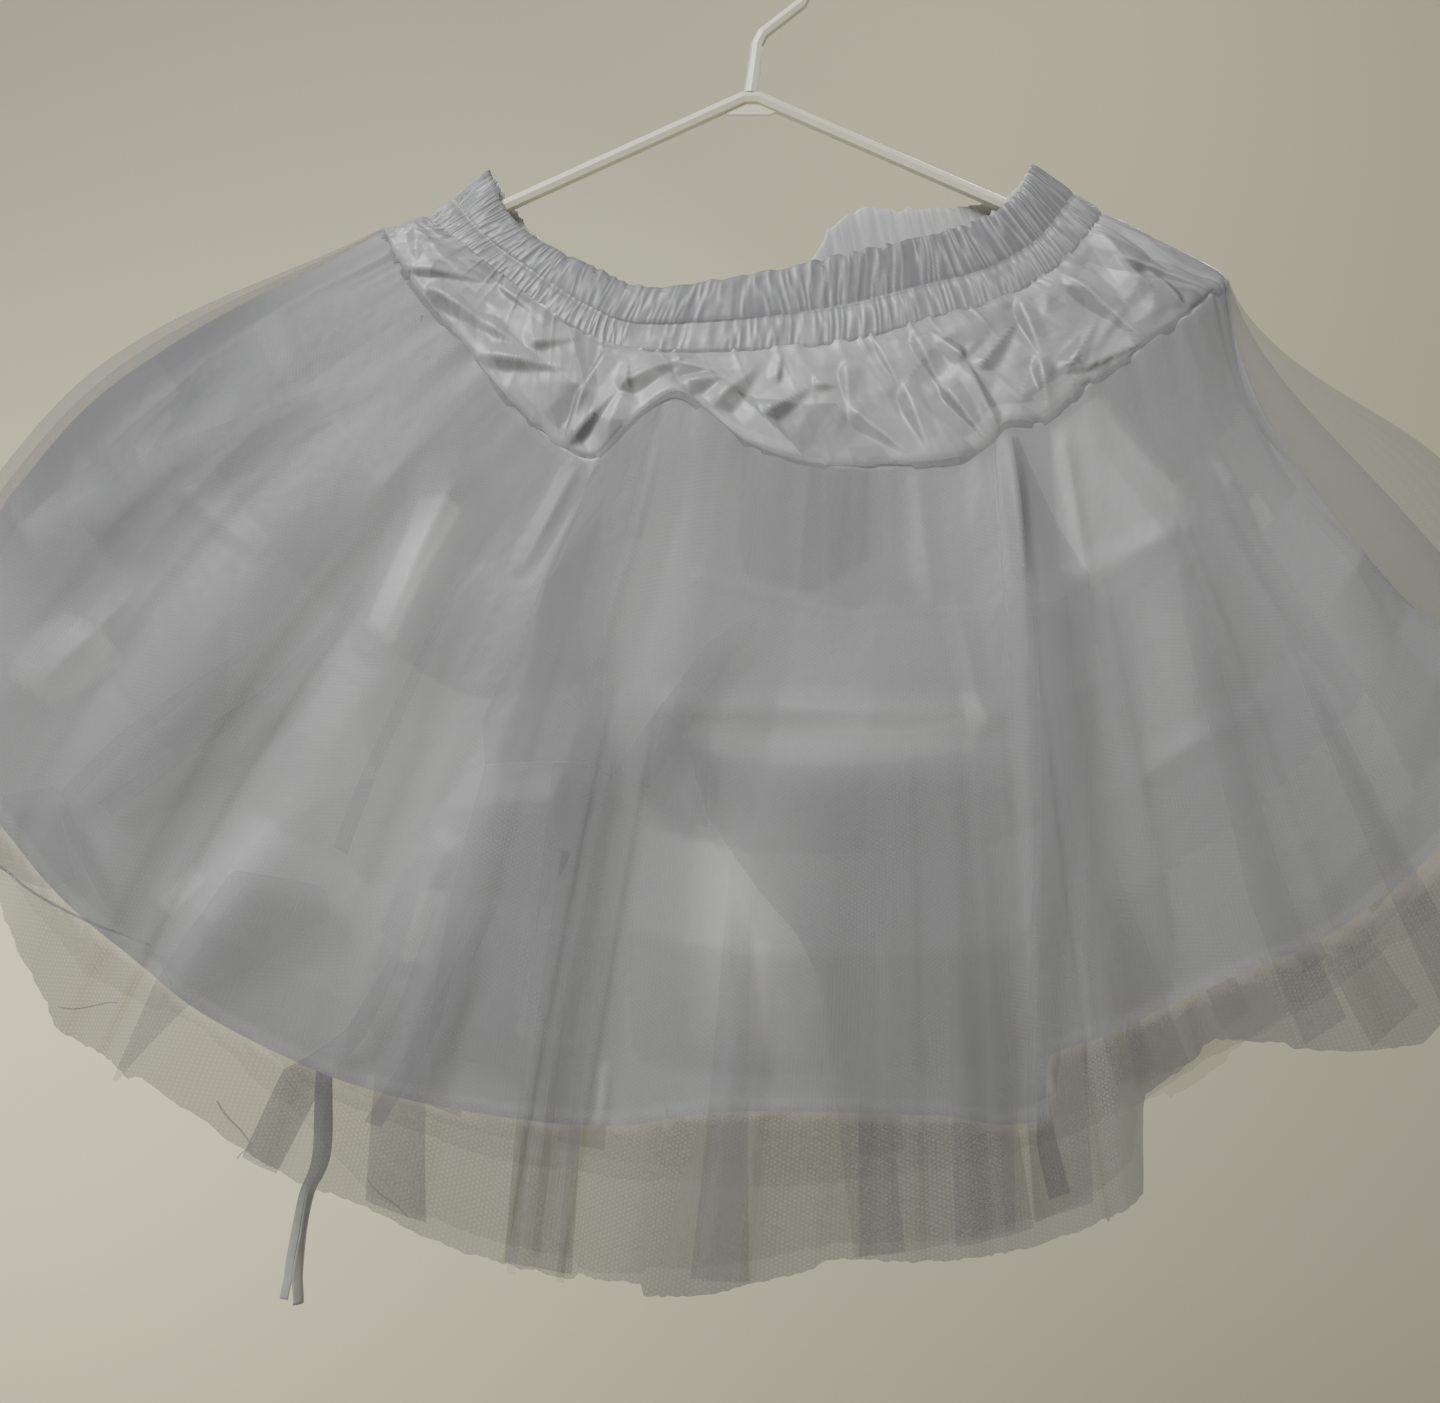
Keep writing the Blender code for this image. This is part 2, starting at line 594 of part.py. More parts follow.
def hanger(material, parts, cutters):
    """One moulded hanger: two arms from the apex, a small web below it, and the neck and hook."""
    tip_x, tip_z = ARM_TIP
    left, right = (-tip_x, tip_z), (tip_x, tip_z)
    end = 3.5 * MM
    ends = (0.45, 0.85, 1.0)
    slope_left = math.atan2(APEX[1] - left[1], APEX[0] - left[0])
    slope_right = math.atan2(right[1] - APEX[1], right[0] - APEX[0])

    def along(start, angle, distance):
        return (start[0] + distance * math.cos(angle), start[1] + distance * math.sin(angle))

    line = [left, along(left, slope_left, 0.35 * end), along(left, slope_left, end),
            along(APEX, slope_left, -12 * MM), along(APEX, slope_left, -5 * MM),
            along(APEX, slope_right, 5 * MM), along(APEX, slope_right, 12 * MM),
            along(right, slope_right, -end), along(right, slope_right, -0.35 * end), right]
    arms = tube("hanger", line, TUBE_RADIUS, [*ends, 1, 1, 1, 1, *ends[::-1]], material, parts)

    centre = (0.0, -(HOOK_RADIUS - NECK_RADIUS))
    bend = (0.5 * MM, -63.0 * MM)
    hook_line = [(APEX[0], APEX[1] + 1.0 * MM), (APEX[0] + 3 * MM, APEX[1] + 22 * MM),
                 (bend[0] - 0.5 * MM, bend[1] - 4 * MM), (bend[0] + 3 * MM, bend[1] + 3 * MM),
                 *arc(centre, HOOK_RADIUS, -28, 196, 20)]
    hook = tube("hook", hook_line, NECK_RADIUS, [1.15, 1.0, *[1] * (len(hook_line) - 4), 0.9, 0.6],
                material, cutters)

    web = bpy.data.curves.new("web", "CURVE")
    web.dimensions = "2D"
    web.fill_mode = "BOTH"
    web.extrude = WEB_THICKNESS / 2
    outline = web.splines.new("POLY")
    corners = ((-24, -107.5), (-18, -110.5), (8, -110.5), (15, -107), (-4, -97))
    outline.points.add(len(corners) - 1)
    for point, (x, z) in zip(outline.points, corners):
        point.co = (x * MM, z * MM, 0, 1)
    outline.use_cyclic_u = True
    flat = bpy.data.objects.new("web_outline", web)
    flat.rotation_euler = (math.pi / 2, 0, 0)
    cutters.objects.link(flat)
    bpy.context.view_layer.update()
    mesh = bpy.data.meshes.new_from_object(flat.evaluated_get(bpy.context.evaluated_depsgraph_get()))
    plate = bpy.data.objects.new("web", mesh)
    plate.matrix_world = flat.matrix_world.copy()
    bpy.data.objects.remove(flat)
    cutters.objects.link(plate)
    weld = plate.modifiers.new("weld", "WELD")
    weld.merge_threshold = 0.00001

    for piece in (hook, plate):
        piece.hide_render = True
        piece.display_type = "WIRE"
        join = arms.modifiers.new("join_" + piece.name, "BOOLEAN")
        join.operation = "UNION"
        join.object = piece
    return arms


def tape(material, collection):
    """A narrow tape with a lengthwise fold, hung from the seam; its end is cut on the slant."""
    route = np.array([TAPE_ROUTE[axis] for axis in "xyz"]).T
    stations = np.arange(len(route), dtype=float)
    at = np.linspace(0, len(route) - 1, TAPE_STEPS + 1)
    line = np.stack([smooth(at, stations, route[:, axis]) for axis in range(3)], 1) * MM
    width = TAPE_WIDTH * (0.5 + 0.08 * np.sin(at * 2.1))
    turn = 0.25 * np.sin(at * 0.9)
    aside = np.stack([np.cos(turn), np.sin(turn), 0 * at], 1) * width[:, None]
    ridge = np.stack([0 * at, -TAPE_FOLD + 0 * at, 0 * at], 1)
    slant = np.zeros((len(at), 3))
    slant[-1, 2] = 3 * MM
    strips = np.stack([line - aside + slant, line + ridge, line + aside - slant], 1)
    rows, columns = strips.shape[:2]
    mesh = bpy.data.meshes.new("hanging_tape")
    mesh.from_pydata(strips.reshape(-1, 3).tolist(), [], grid_faces(rows, columns))
    mesh.materials.append(material)
    mesh.shade_smooth()
    made = bpy.data.objects.new("hanging_tape", mesh)
    collection.objects.link(made)
    solid = made.modifiers.new("wall", "SOLIDIFY")
    solid.thickness = TAPE_WALL
    solid.offset = 0
    return made


def main():
    for old in list(bpy.data.objects):
        bpy.data.objects.remove(old, do_unlink=True)
    parts = bpy.data.collections.new("net_skirt_on_hanger")
    cutters = bpy.data.collections.new("joined_shapes")
    for collection in (parts, cutters):
        bpy.context.scene.collection.children.link(collection)

    plastic = make_material("hanger_plastic", (0.86, 0.86, 0.84), 0.35)
    satin = make_material("white_satin", (0.80, 0.80, 0.83), 0.30)
    net = make_material("white_net", (0.84, 0.84, 0.87), 0.80)
    ribbon = make_material("white_tape", (0.76, 0.77, 0.82), 0.60)

    hanger(plastic, parts, cutters)
    cloth = {"waistband": (band_walls(), satin), "yoke": (yoke_walls(), satin)}
    for layer in LAYERS:
        cloth[layer] = (skirt_walls(layer), satin if layer == "lining" else net)
    for name, ((outer, inner, last, every), material) in cloth.items():
        for which in ("front", "back"):
            outside, inside = (half_of(grid, last, which) for grid in (outer, inner))
            closed_wall(f"{name}_{which}", outside, inside[:, ::every], material, parts)
    tape(ribbon, parts)


main()
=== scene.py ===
# %% [markdown]
# # A ballet tutu skirt on a clothes hanger
#
# A real tutu skirt of this kind has a waistband with elastic inside, a gathered satin yoke, a
# plain satin lining, and two layers of nylon net that are pleated into the hip seam.  It could be
# modelled by simulating flat cloth, but the folds of a skirt that has been packed and then hung
# are set by how it was stitched and pressed.  So every cloth here is a surface worked out with
# numpy on rings round the body of the skirt, and its folds are placed by short tables.

# %% The frame and the tools of the lesson
import math

import bpy
import numpy as np
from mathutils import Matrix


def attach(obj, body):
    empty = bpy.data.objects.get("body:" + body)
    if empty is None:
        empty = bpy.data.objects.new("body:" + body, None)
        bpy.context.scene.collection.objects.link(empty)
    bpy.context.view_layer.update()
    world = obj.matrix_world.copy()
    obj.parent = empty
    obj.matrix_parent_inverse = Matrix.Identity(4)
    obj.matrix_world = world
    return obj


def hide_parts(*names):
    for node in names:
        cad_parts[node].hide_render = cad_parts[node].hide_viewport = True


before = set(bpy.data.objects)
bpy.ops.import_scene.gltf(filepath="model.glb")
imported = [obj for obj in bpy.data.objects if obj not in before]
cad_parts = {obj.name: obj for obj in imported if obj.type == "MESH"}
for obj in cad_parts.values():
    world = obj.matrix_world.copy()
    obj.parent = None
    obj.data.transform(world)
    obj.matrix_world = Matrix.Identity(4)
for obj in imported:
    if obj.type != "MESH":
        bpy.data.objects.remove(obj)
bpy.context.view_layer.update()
MM = 0.001
print("parts of the frame:", ", ".join(sorted(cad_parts)))

# %% [markdown]
# ## The camera
#
# The skirt hangs by its hook and is seen from straight ahead, a metre away and level with its
# middle.  A camera could be tilted to look up at it, but a level one keeps upright lines parallel.

# %% Camera
SIGHT = (-0.023, -1.0, -0.474)         # where the lens is, in metres
HALF_WIDTH = 0.4464                    # of what is seen one metre away
lens = bpy.data.cameras.new("camera")
lens.sensor_fit = "HORIZONTAL"
lens.angle = 2 * math.atan(HALF_WIDTH)
camera = bpy.data.objects.new("camera", lens)
camera.location = SIGHT
camera.rotation_euler = (math.radians(90), 0, 0)
bpy.context.scene.collection.objects.link(camera)
bpy.context.scene.camera = camera
print(f"camera sees {2 * HALF_WIDTH:.2f} m across at one metre")

# %% [markdown]
# ## Helpers for curves, tables and meshes
#
# Each table has named columns, and a smooth curve runs through its rows.  Short tables are easier
# to read and to change than long lists of points, and the surfaces between them are computed.

# %% Tables and smooth curves
NOISE_ROWS = 64                        # steps after which a noise repeats downwards


def table(names, *rows):
    """The named columns of a short table, as arrays."""
    return {name: np.array(column, float) for name, column in zip(names.split(), zip(*rows))}


def each_row(rows):
    """The rows of a table, one by one."""
    return zip(*rows.values())


def smooth(at, stations, values):
    """A curve through a table: cubic pieces that share the mean slope at each station."""
    slopes = np.gradient(values, stations)
    left = np.clip(np.searchsorted(stations, at) - 1, 0, len(stations) - 2)
    run = stations[left + 1] - stations[left]
    f = (at - stations[left]) / run
    return ((1 + 2 * f) * (1 - f) ** 2 * values[left] + f * (1 - f) ** 2 * run * slopes[left]
            + f * f * (3 - 2 * f) * values[left + 1] - f * f * (1 - f) * run * slopes[left + 1])


def ease(value):
    """Smooth step: 3v^2 - 2v^3, from 0 at 0 to 1 at 1, and level outside."""
    value = np.clip(value, 0, 1)
    return value * value * (3 - 2 * value)


def corner_heights(u, v, seed, wrap):
    """Random heights at the four whole-number corners round (u, v), and how far on it lies.

    They repeat after wrap steps of u, so that a noise made of them closes round a ring.
    """
    heights = np.random.default_rng(seed).uniform(-1, 1, (wrap, NOISE_ROWS))
    i, j = np.floor(u).astype(int), np.floor(v).astype(int)
    i0, i1, j0, j1 = i % wrap, (i + 1) % wrap, j % NOISE_ROWS, (j + 1) % NOISE_ROWS
    return heights[i0, j0], heights[i1, j0], heights[i0, j1], heights[i1, j1], u - i, v - j


def patchy(u, v, seed, wrap):
    """Smooth noise from -1 to 1: random heights at whole numbers, eased between them."""
    h00, h10, h01, h11, a, b = corner_heights(u, v, seed, wrap)
    a, b = ease(a), ease(b)
    return (h00 * (1 - a) + h10 * a) * (1 - b) + (h01 * (1 - a) + h11 * a) * b


def creased(u, v, seed, wrap):
    """Ridged noise from 0 to 1: one minus the size of a smooth noise, so that it has sharp crests."""
    return 1 - np.abs(patchy(u, v, seed, wrap))


def faceted(u, v, seed, wrap):
    """Crumpled cloth from -1 to 1: random heights at whole numbers, joined by flat triangles."""
    h00, h10, h01, h11, a, b = corner_heights(u, v, seed, wrap)
    near = h00 * (1 - a - b) + h10 * a + h01 * b
    far = h11 * (a + b - 1) + h10 * (1 - b) + h01 * (1 - a)
    return np.where(a + b < 1, near, far)


def shines(u, v, seed, wrap):
    """A painted sheen for each flat triangle of faceted(): one random number from -1 to 1 for each, as if
    it took the light its own way.
    """
    tones = np.random.default_rng(seed + 500).uniform(-1, 1, (wrap, NOISE_ROWS, 2))
    i, j = np.floor(u).astype(int), np.floor(v).astype(int)
    return tones[i % wrap, j % NOISE_ROWS, ((u - i) + (v - j) < 1).astype(int)]


half_way = smooth(0.5, np.array([0.0, 1.0, 2.0]), np.array([0.0, 1.0, 0.0]))
print("smooth curve half way:", float(half_way))

# %% Meshes from grids
def grid_cells(rows, columns, first=0, closed=False):
    """Four-sided faces of a grid numbered row by row; closed joins its last column to its first."""
    across = np.arange(columns if closed else columns - 1)
    corner = np.arange(rows - 1)[:, None] * columns
    a, b = corner + across, corner + (across + 1) % columns
    return first + np.stack([a, a + columns, b + columns, b], 2).reshape(-1, 4)


def cloth_piece(name, grids, material, node_names, closed=False):
    """One object from grids of (points, u, v, cover), or of (points, u, v, cover, free).

    u and v are metres of cloth and go into a UV map.  Cover and free, one number a point, go into
    attributes: a net reads cover as how much it veils and free as how far it hangs clear of the satin,
    where its colour turns to a painted shade, and satin reads cover as its tone, which holds painted
    highlights and painted shade.  The first grid may be a closed ring.
    """
    points = np.concatenate([grid[0].reshape(-1, 3) for grid in grids])
    flat = np.concatenate([np.stack(grid[1:3], 2).reshape(-1, 2) for grid in grids])
    faces, first = [], 0
    for index, grid in enumerate(grids):
        faces.append(grid_cells(*grid[0].shape[:2], first, closed and index == 0))
        first += grid[0].shape[0] * grid[0].shape[1]
    faces = np.concatenate(faces)
    mesh = bpy.data.meshes.new(name)
    mesh.vertices.add(len(points))
    mesh.vertices.foreach_set("co", points.astype(np.float32).ravel())
    mesh.loops.add(faces.size)
    mesh.loops.foreach_set("vertex_index", faces.astype(np.int32).ravel())
    mesh.polygons.add(len(faces))
    mesh.polygons.foreach_set("loop_start", np.arange(0, faces.size, 4, dtype=np.int32))
    mesh.update(calc_edges=True)
    threads = mesh.uv_layers.new(name="cloth")
    threads.data.foreach_set("uv", flat[faces.ravel()].astype(np.float32).ravel())
    for title, at in (("cover", 3), ("free", 4)):
        values = [np.broadcast_to(grid[at] if len(grid) > at else 0.0, grid[0].shape[:2]) for grid in grids]
        values = np.concatenate([value.ravel() for value in values]).astype(np.float32)
        mesh.attributes.new(title, "FLOAT", "POINT").data.foreach_set("value", values)
    mesh.shade_smooth()
    mesh.materials.append(material)
    piece = bpy.data.objects.new(name, mesh)
    bpy.context.scene.collection.objects.link(piece)
    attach(piece, "root")
    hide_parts(*node_names)
    print(f"{name}: {len(faces)} faces")
    return piece


def metres_round(points):
    """Metres of cloth round a closed ring up to each of its columns, as the mean of its rows."""
    girth = np.linalg.norm(np.roll(points, -1, 1) - points, axis=2).mean(0)
    return np.broadcast_to(np.cumsum(girth), points.shape[:2])


print("faces of a closed grid of 3 by 4 points:", len(grid_cells(3, 4, closed=True)))

# %% [markdown]
# ## Helpers for materials
#
# A finish starts from what the real thing is.  One small function turns the colours of a paint
# chart (sRGB hex) into the linear light that a shader works with, and another adds a node.

# %% Colours and nodes
def light_of(code):
    """Linear red, green and blue of an sRGB hex colour."""
    values = np.array([int(code[i:i + 2], 16) for i in (1, 3, 5)]) / 255
    return (*np.where(values <= 0.04045, values / 12.92, ((values + 0.055) / 1.055) ** 2.4), 1)


def add_node(tree, kind, sockets=None, **settings):
    """Adds one node, sets its properties, then fills its sockets with values or with links."""
    node = tree.nodes.new(kind)
    for name, value in settings.items():
        setattr(node, name, value)
    for socket, value in (sockets or {}).items():
        if isinstance(value, bpy.types.NodeSocket):
            tree.links.new(value, node.inputs[socket])
        else:
            node.inputs[socket].default_value = value
    return node


def finish_named(name, **sockets):
    """A new material with a Principled shader whose own sockets are set."""
    made = bpy.data.materials.new(name)
    made.use_nodes = True
    shader = made.node_tree.nodes["Principled BSDF"]
    for socket, value in sockets.items():
        shader.inputs[socket.replace("_", " ")].default_value = value
    return made, made.node_tree, shader


print("white paper in linear light:", [round(float(c), 3) for c in light_of("#F4F4F4")])

# %% [markdown]
# ## Satin
#
# Polyester satin: long floats of bright thread lie over the weave, so that it is smooth, shows a
# broad soft gloss, and goes dark where it turns away.  The floats are far finer than a
# millimetre and couldn't be seen on a whole skirt, so they are drawn as faint waves 8 mm apart.
# Small crumples from packing break the gloss up, and they come from a slow noise in the bump.

# %% Satin finish
SATIN_WAVE = 18.0 * MM                 # unit of a wave texture whose slanting waves lie 8 mm apart
CRUMPLE = 12.5 * MM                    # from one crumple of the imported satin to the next
satin, tree, shader = finish_named("white_polyester_satin", Roughness=0.44, IOR=1.5,
                                   Specular_IOR_Level=0.75)
# The cover attribute is the satin's tone, and the pieces paint light and shade into it: a light base on the
# lining, a middle one on the yoke and a dark one on the band, as lit and shaded copies of one satin, with
# painted sheen, highlights and shade over these.
shade = add_node(tree, "ShaderNodeAttribute", attribute_name="cover").outputs["Fac"]
toned = add_node(tree, "ShaderNodeMix", {"Factor": shade, 6: light_of("#6F6F71"), 7: light_of("#E8E8E6")},
                 data_type="RGBA")
tree.links.new(toned.outputs[2], shader.inputs["Base Color"])
cloth = add_node(tree, "ShaderNodeUVMap", uv_map="cloth").outputs["UV"]
weave = add_node(tree, "ShaderNodeTexWave", {"Vector": cloth, "Scale": 1 / SATIN_WAVE},
                 bands_direction="DIAGONAL")
crumple = add_node(tree, "ShaderNodeTexNoise", {"Vector": cloth, "Scale": 1 / CRUMPLE, "Detail": 1.0})
fine = add_node(tree, "ShaderNodeBump", {"Height": weave.outputs["Fac"], "Strength": 0.2,
                                         "Distance": 0.05 * MM})
bump = add_node(tree, "ShaderNodeBump", {"Height": crumple.outputs["Fac"], "Strength": 0.5,
                                         "Distance": 1.0 * MM, "Normal": fine.outputs["Normal"]})
tree.links.new(bump.outputs["Normal"], shader.inputs["Normal"])
# Along u a slanting wave repeats after 2 pi / 10 units, and straight across it after less.
print("satin floats drawn", round(SATIN_WAVE * 2 * math.pi / 10 / math.sqrt(2) / MM, 1), "mm apart")

# %% [markdown]
# ## Nylon net
#
# Tulle is a six-sided net of thin nylon.  It could be a mesh with real holes, but a skirt has a
# million of them, so the holes are in the see-through part of the material: three waves that
# cross at 60 degrees add up to a six-sided pattern, high in the holes and low on the threads.
# One layer veils what is behind it, and every fold that lies double veils it twice.

# %% Net finish
NET_PITCH = 2.3 * MM                   # from hole to hole: twice the real size, so that it can be seen


def net_finish(name, colour, painted_free_shade, thread_cover, hole_cover):
    """A sheer finish: cover is how much of the light the threads and the holes stop, and free turns its
    colour to a painted shade where it hangs clear of the satin.
    """
    made, tree, shader = finish_named(name, Roughness=0.8, Specular_IOR_Level=0.25)
    free = add_node(tree, "ShaderNodeAttribute", attribute_name="free").outputs["Fac"]
    base = add_node(tree, "ShaderNodeMix", {"Factor": free, 6: light_of(colour), 7: light_of(painted_free_shade)},
                    data_type="RGBA")
    tree.links.new(base.outputs[2], shader.inputs["Base Color"])
    cloth = add_node(tree, "ShaderNodeUVMap", uv_map="cloth").outputs["UV"]
    pace = 2 * math.pi / (NET_PITCH * math.cos(math.radians(30)))
    waves = []
    for turn in (0, 60, 120):
        way = (pace * math.cos(math.radians(turn)), pace * math.sin(math.radians(turn)), 0)
        along = add_node(tree, "ShaderNodeVectorMath", {0: cloth, 1: way}, operation="DOT_PRODUCT")
        wave = add_node(tree, "ShaderNodeMath", {0: along.outputs["Value"]}, operation="COSINE")
        waves.append(wave.outputs[0])
    two = add_node(tree, "ShaderNodeMath", {0: waves[0], 1: waves[1]}, operation="ADD")
    three = add_node(tree, "ShaderNodeMath", {0: two.outputs[0], 1: waves[2]}, operation="ADD")
    stopped = add_node(tree, "ShaderNodeMapRange",
                       {"Value": three.outputs[0], "From Min": -0.8, "From Max": 1.4,
                        "To Min": thread_cover, "To Max": hole_cover})
    cover = add_node(tree, "ShaderNodeAttribute", attribute_name="cover").outputs["Fac"]
    alpha = add_node(tree, "ShaderNodeMath", {0: stopped.outputs["Result"], 1: cover},
                     operation="MULTIPLY")
    tree.links.new(alpha.outputs[0], shader.inputs["Alpha"])
    return made


# The second colour is a painted shade, for net that hangs free below the satin.
outer_tulle = net_finish("white_nylon_tulle", "#8D8D8D", "#747270", 0.31, 0.272)
inner_tulle = net_finish("white_nylon_tulle_inner", "#8D8D8D", "#747270", 0.28, 0.242)
print("net holes", NET_PITCH / MM, "mm apart")

# %% [markdown]
# ## The form of the skirt
#
# All the cloth hangs on rings round the skirt.  phi goes once round: from the left side fold at
# 0, over the front to the right side fold at pi, and back over the back.  "across" is the share
# of the way from left to right, and tables of the front and of the back give the lines of the
# waistband, the hip seam and the hem there, in millimetres.

# %% Tables of the form
HUB = (-4.0 * MM, -194.0 * MM)         # the middle that the skirt spreads from
FULL_REACH = 608.0 * MM                # from the hub to the lowest hems
ROUNDNESS = 2.35                       # a power of 2 would make the rings ellipses
# How far the rings reach forwards and back, by how far below the waistband's top they lie.
DEPTHS = table(
    "below front back",
    (0,    14,   13),
    (48,   20,   17),
    (113,  34,   25),
    (300,  62,   36),
    (590,  84,   46),
)
TOP, LOW, SEAM, FULL = 0, 1, 2, 3      # levels: waistband's top and low edge, hip seam, full reach
LEVEL_BELOW = (0.0, 48.0, 113.0, 590.0)
BAND_FRONT = table(
    "across top_x top_z low_x low_z",
    (0.00,  -167, -146, -203, -177),
    (0.08,  -153, -176, -180, -196),
    (0.16,  -130, -194, -152, -218),
    (0.28,  -95,  -211, -112, -248),
    (0.37,  -72,  -221, -84,  -260),
    (0.50,  -10,  -215, -14,  -262),
    (0.62,  45,   -204, 50,   -257),
    (0.74,  90,   -193, 104,  -243),
    (0.86,  135,  -180, 157,  -226),
    (0.94,  160,  -163, 190,  -203),
    (1.00,  172,  -142, 213,  -174),
)
BAND_BACK = table(
    "across top_x top_z low_x low_z",
    (0.00,  -167, -146, -203, -177),
    (0.10,  -140, -182, -170, -212),
    (0.25,  -90,  -213, -106, -253),
    (0.40,  -22,  -224, -28,  -267),
    (0.50,  24,   -213, 25,   -263),
    (0.57,  48,   -177, 62,   -248),
    (0.70,  92,   -167, 108,  -225),
    (0.85,  140,  -164, 162,  -205),
    (0.94,  160,  -158, 192,  -192),
    (1.00,  172,  -142, 213,  -174),
)
SKIRT_FRONT = table(
    "across seam_x seam_z angle lining inner_net outer_net",
    (0.000, -231,  -183,  -58,  544,   556,      566),
    (0.045, -218,  -208,  -55,  552,   561,      569),
    (0.130, -185,  -251,  -47,  558,   568,      578),
    (0.200, -154,  -289,  -40,  556,   576,      603),
    (0.280, -115,  -325,  -33,  555,   562,      602),
    (0.318, -98,   -330,  -26,  551,   572,      606),
    (0.355, -78,   -309,  -21,  545,   598,      607),
    (0.400, -50,   -289,  -15,  536,   602,      610),
    (0.440, -30,   -302,  -11,  531,   603,      611),
    (0.475, -12,   -317,  -8,   526,   604,      612),
    (0.530, 24,    -331,  -3,   515,   600,      608),
    (0.590, 60,    -334,  4,    518,   586,      593),
    (0.640, 95,    -332,  10,   530,   594,      602),
    (0.712, 140,   -319,  16,   550,   598,      606),
    (0.728, 147,   -309,  18,   550,   596,      605),
    (0.770, 172,   -305,  21,   551,   584,      596),
    (0.782, 179,   -300,  22,   550,   560,      556),
    (0.812, 194,   -288,  27,   543,   556,      549),
    (0.845, 211,   -275,  32,   538,   560,      573),
    (0.880, 229,   -262,  38,   546,   566,      604),
    (0.945, 264,   -238,  50,   558,   574,      602),
    (1.000, 290,   -215,  60,   560,   570,      584),
)
SKIRT_BACK = table(
    "across seam_x seam_z angle lining inner_net outer_net",
    (0.00,  -231,  -183,  -58,  544,   556,      566),
    (0.12,  -196,  -240,  -46,  540,   564,      578),
    (0.30,  -112,  -302,  -28,  530,   592,      604),
    (0.50,  14,    -326,  0,    520,   588,      598),
    (0.70,  134,   -306,  27,   526,   592,      606),
    (0.88,  236,   -256,  46,   540,   574,      598),
    (1.00,  290,   -215,  60,   560,   570,      584),
)
# How far the fall from the hip seam to the hem bows outwards and up.
BOW = table(
    "across bow",
    (0.00,  46),
    (0.12,  34),
    (0.35,  6),
    (0.60,  0),
    (0.85,  -12),
    (1.00,  -28),
)
print("rows of the front hem:", len(SKIRT_FRONT["across"]))

# %% Points of the unfolded cloth
HEM_STEP = 30 * MM                     # the lining is caught up this much right of its knife pleat
SKIRT_FALL = 0.43                      # metres of cloth from the hip seam to full reach


def across_of(phi):
    """Share of the way from the left side fold to the right one: (1 - cos phi) / 2."""
    return 0.5 - 0.5 * np.cos(phi)


def phi_of(across, front=True):
    """The place round the ring of a share of the way across, on the front or on the back."""
    turn = np.arccos(1 - 2 * np.clip(across, 0, 1))
    return turn if front else 2 * np.pi - turn


def on_front(phi):
    """True on the front half of the ring, where sin phi isn't negative."""
    return np.sin(phi) >= 0


def by_side(phi, front, back, name):
    """A column of the front's table on the front and of the back's on the back, in metres."""
    across = across_of(phi)
    return np.where(on_front(phi), smooth(across, front["across"], front[name]),
                    smooth(across, back["across"], back[name])) * MM


def line_of(front, back, name, phi):
    """X and Z of a named line of the tables round the ring."""
    return np.stack([by_side(phi, front, back, name + "_x"), by_side(phi, front, back, name + "_z")])


def unfolded(level, phi):
    """Points of the unfolded cloth: straight down the band and the yoke, then out on the fan.

    On the fan a point runs from the hip seam to full reach from the hub, at the table's angle,
    bowed up and outwards by 4 b d (1 - d).  Its depth is that of a rounded ring: the power
    ROUNDNESS of depth and of distance from the middle add up to one.
    """
    level, phi = np.broadcast_arrays(level, phi)
    top = line_of(BAND_FRONT, BAND_BACK, "top", phi)
    low = line_of(BAND_FRONT, BAND_BACK, "low", phi)
    seam = line_of(SKIRT_FRONT, SKIRT_BACK, "seam", phi)
    down = level - SEAM
    angle = np.radians(by_side(phi, SKIRT_FRONT, SKIRT_BACK, "angle") / MM)
    end = np.stack([HUB[0] + FULL_REACH * np.sin(angle), HUB[1] - FULL_REACH * np.cos(angle)])
    run = end - seam
    across = across_of(phi)
    aside = np.stack([run[1], -run[0]]) / np.hypot(*run) * np.where(across < 0.5, 1, -1)
    bow = smooth(across, BOW["across"], BOW["bow"]) * MM * 4 * down * (1 - down)
    x, z = np.where(level <= LOW, top + (low - top) * level,
                    np.where(level <= SEAM, low + (seam - low) * (level - LOW),
                             seam + run * down + aside * bow))
    below = np.interp(level, (TOP, LOW, SEAM, FULL), LEVEL_BELOW)
    ring = (1 - np.abs(np.cos(phi)) ** ROUNDNESS) ** (1 / ROUNDNESS)
    depth = np.where(on_front(phi), -smooth(below, DEPTHS["below"], DEPTHS["front"]),
                     smooth(below, DEPTHS["below"], DEPTHS["back"]))
    return np.stack([x, depth * ring * MM, z], axis=-1)


def lifted(level, phi, lift):
    """Points that stand off the unfolded cloth by lift, along its outward direction."""
    step = 0.01
    down = unfolded(level + step, phi) - unfolded(level - step, phi)
    around = unfolded(level, phi + step) - unfolded(level, phi - step)
    out = np.cross(down, around)
    out /= np.linalg.norm(out, axis=-1, keepdims=True)
    return unfolded(level, phi) + out * np.asarray(lift)[..., None]


print("left end of the hip seam:", unfolded(np.array(SEAM), np.array(0.0)).round(3))

# %% [markdown]
# ## The folds
#
# Some folds go through every layer, and each layer has pleats of its own.  A pleat rises from its
# feet to its crest and grows as it goes down.  One side may be steeper than the other, because a
# pressed pleat lies over to one side.

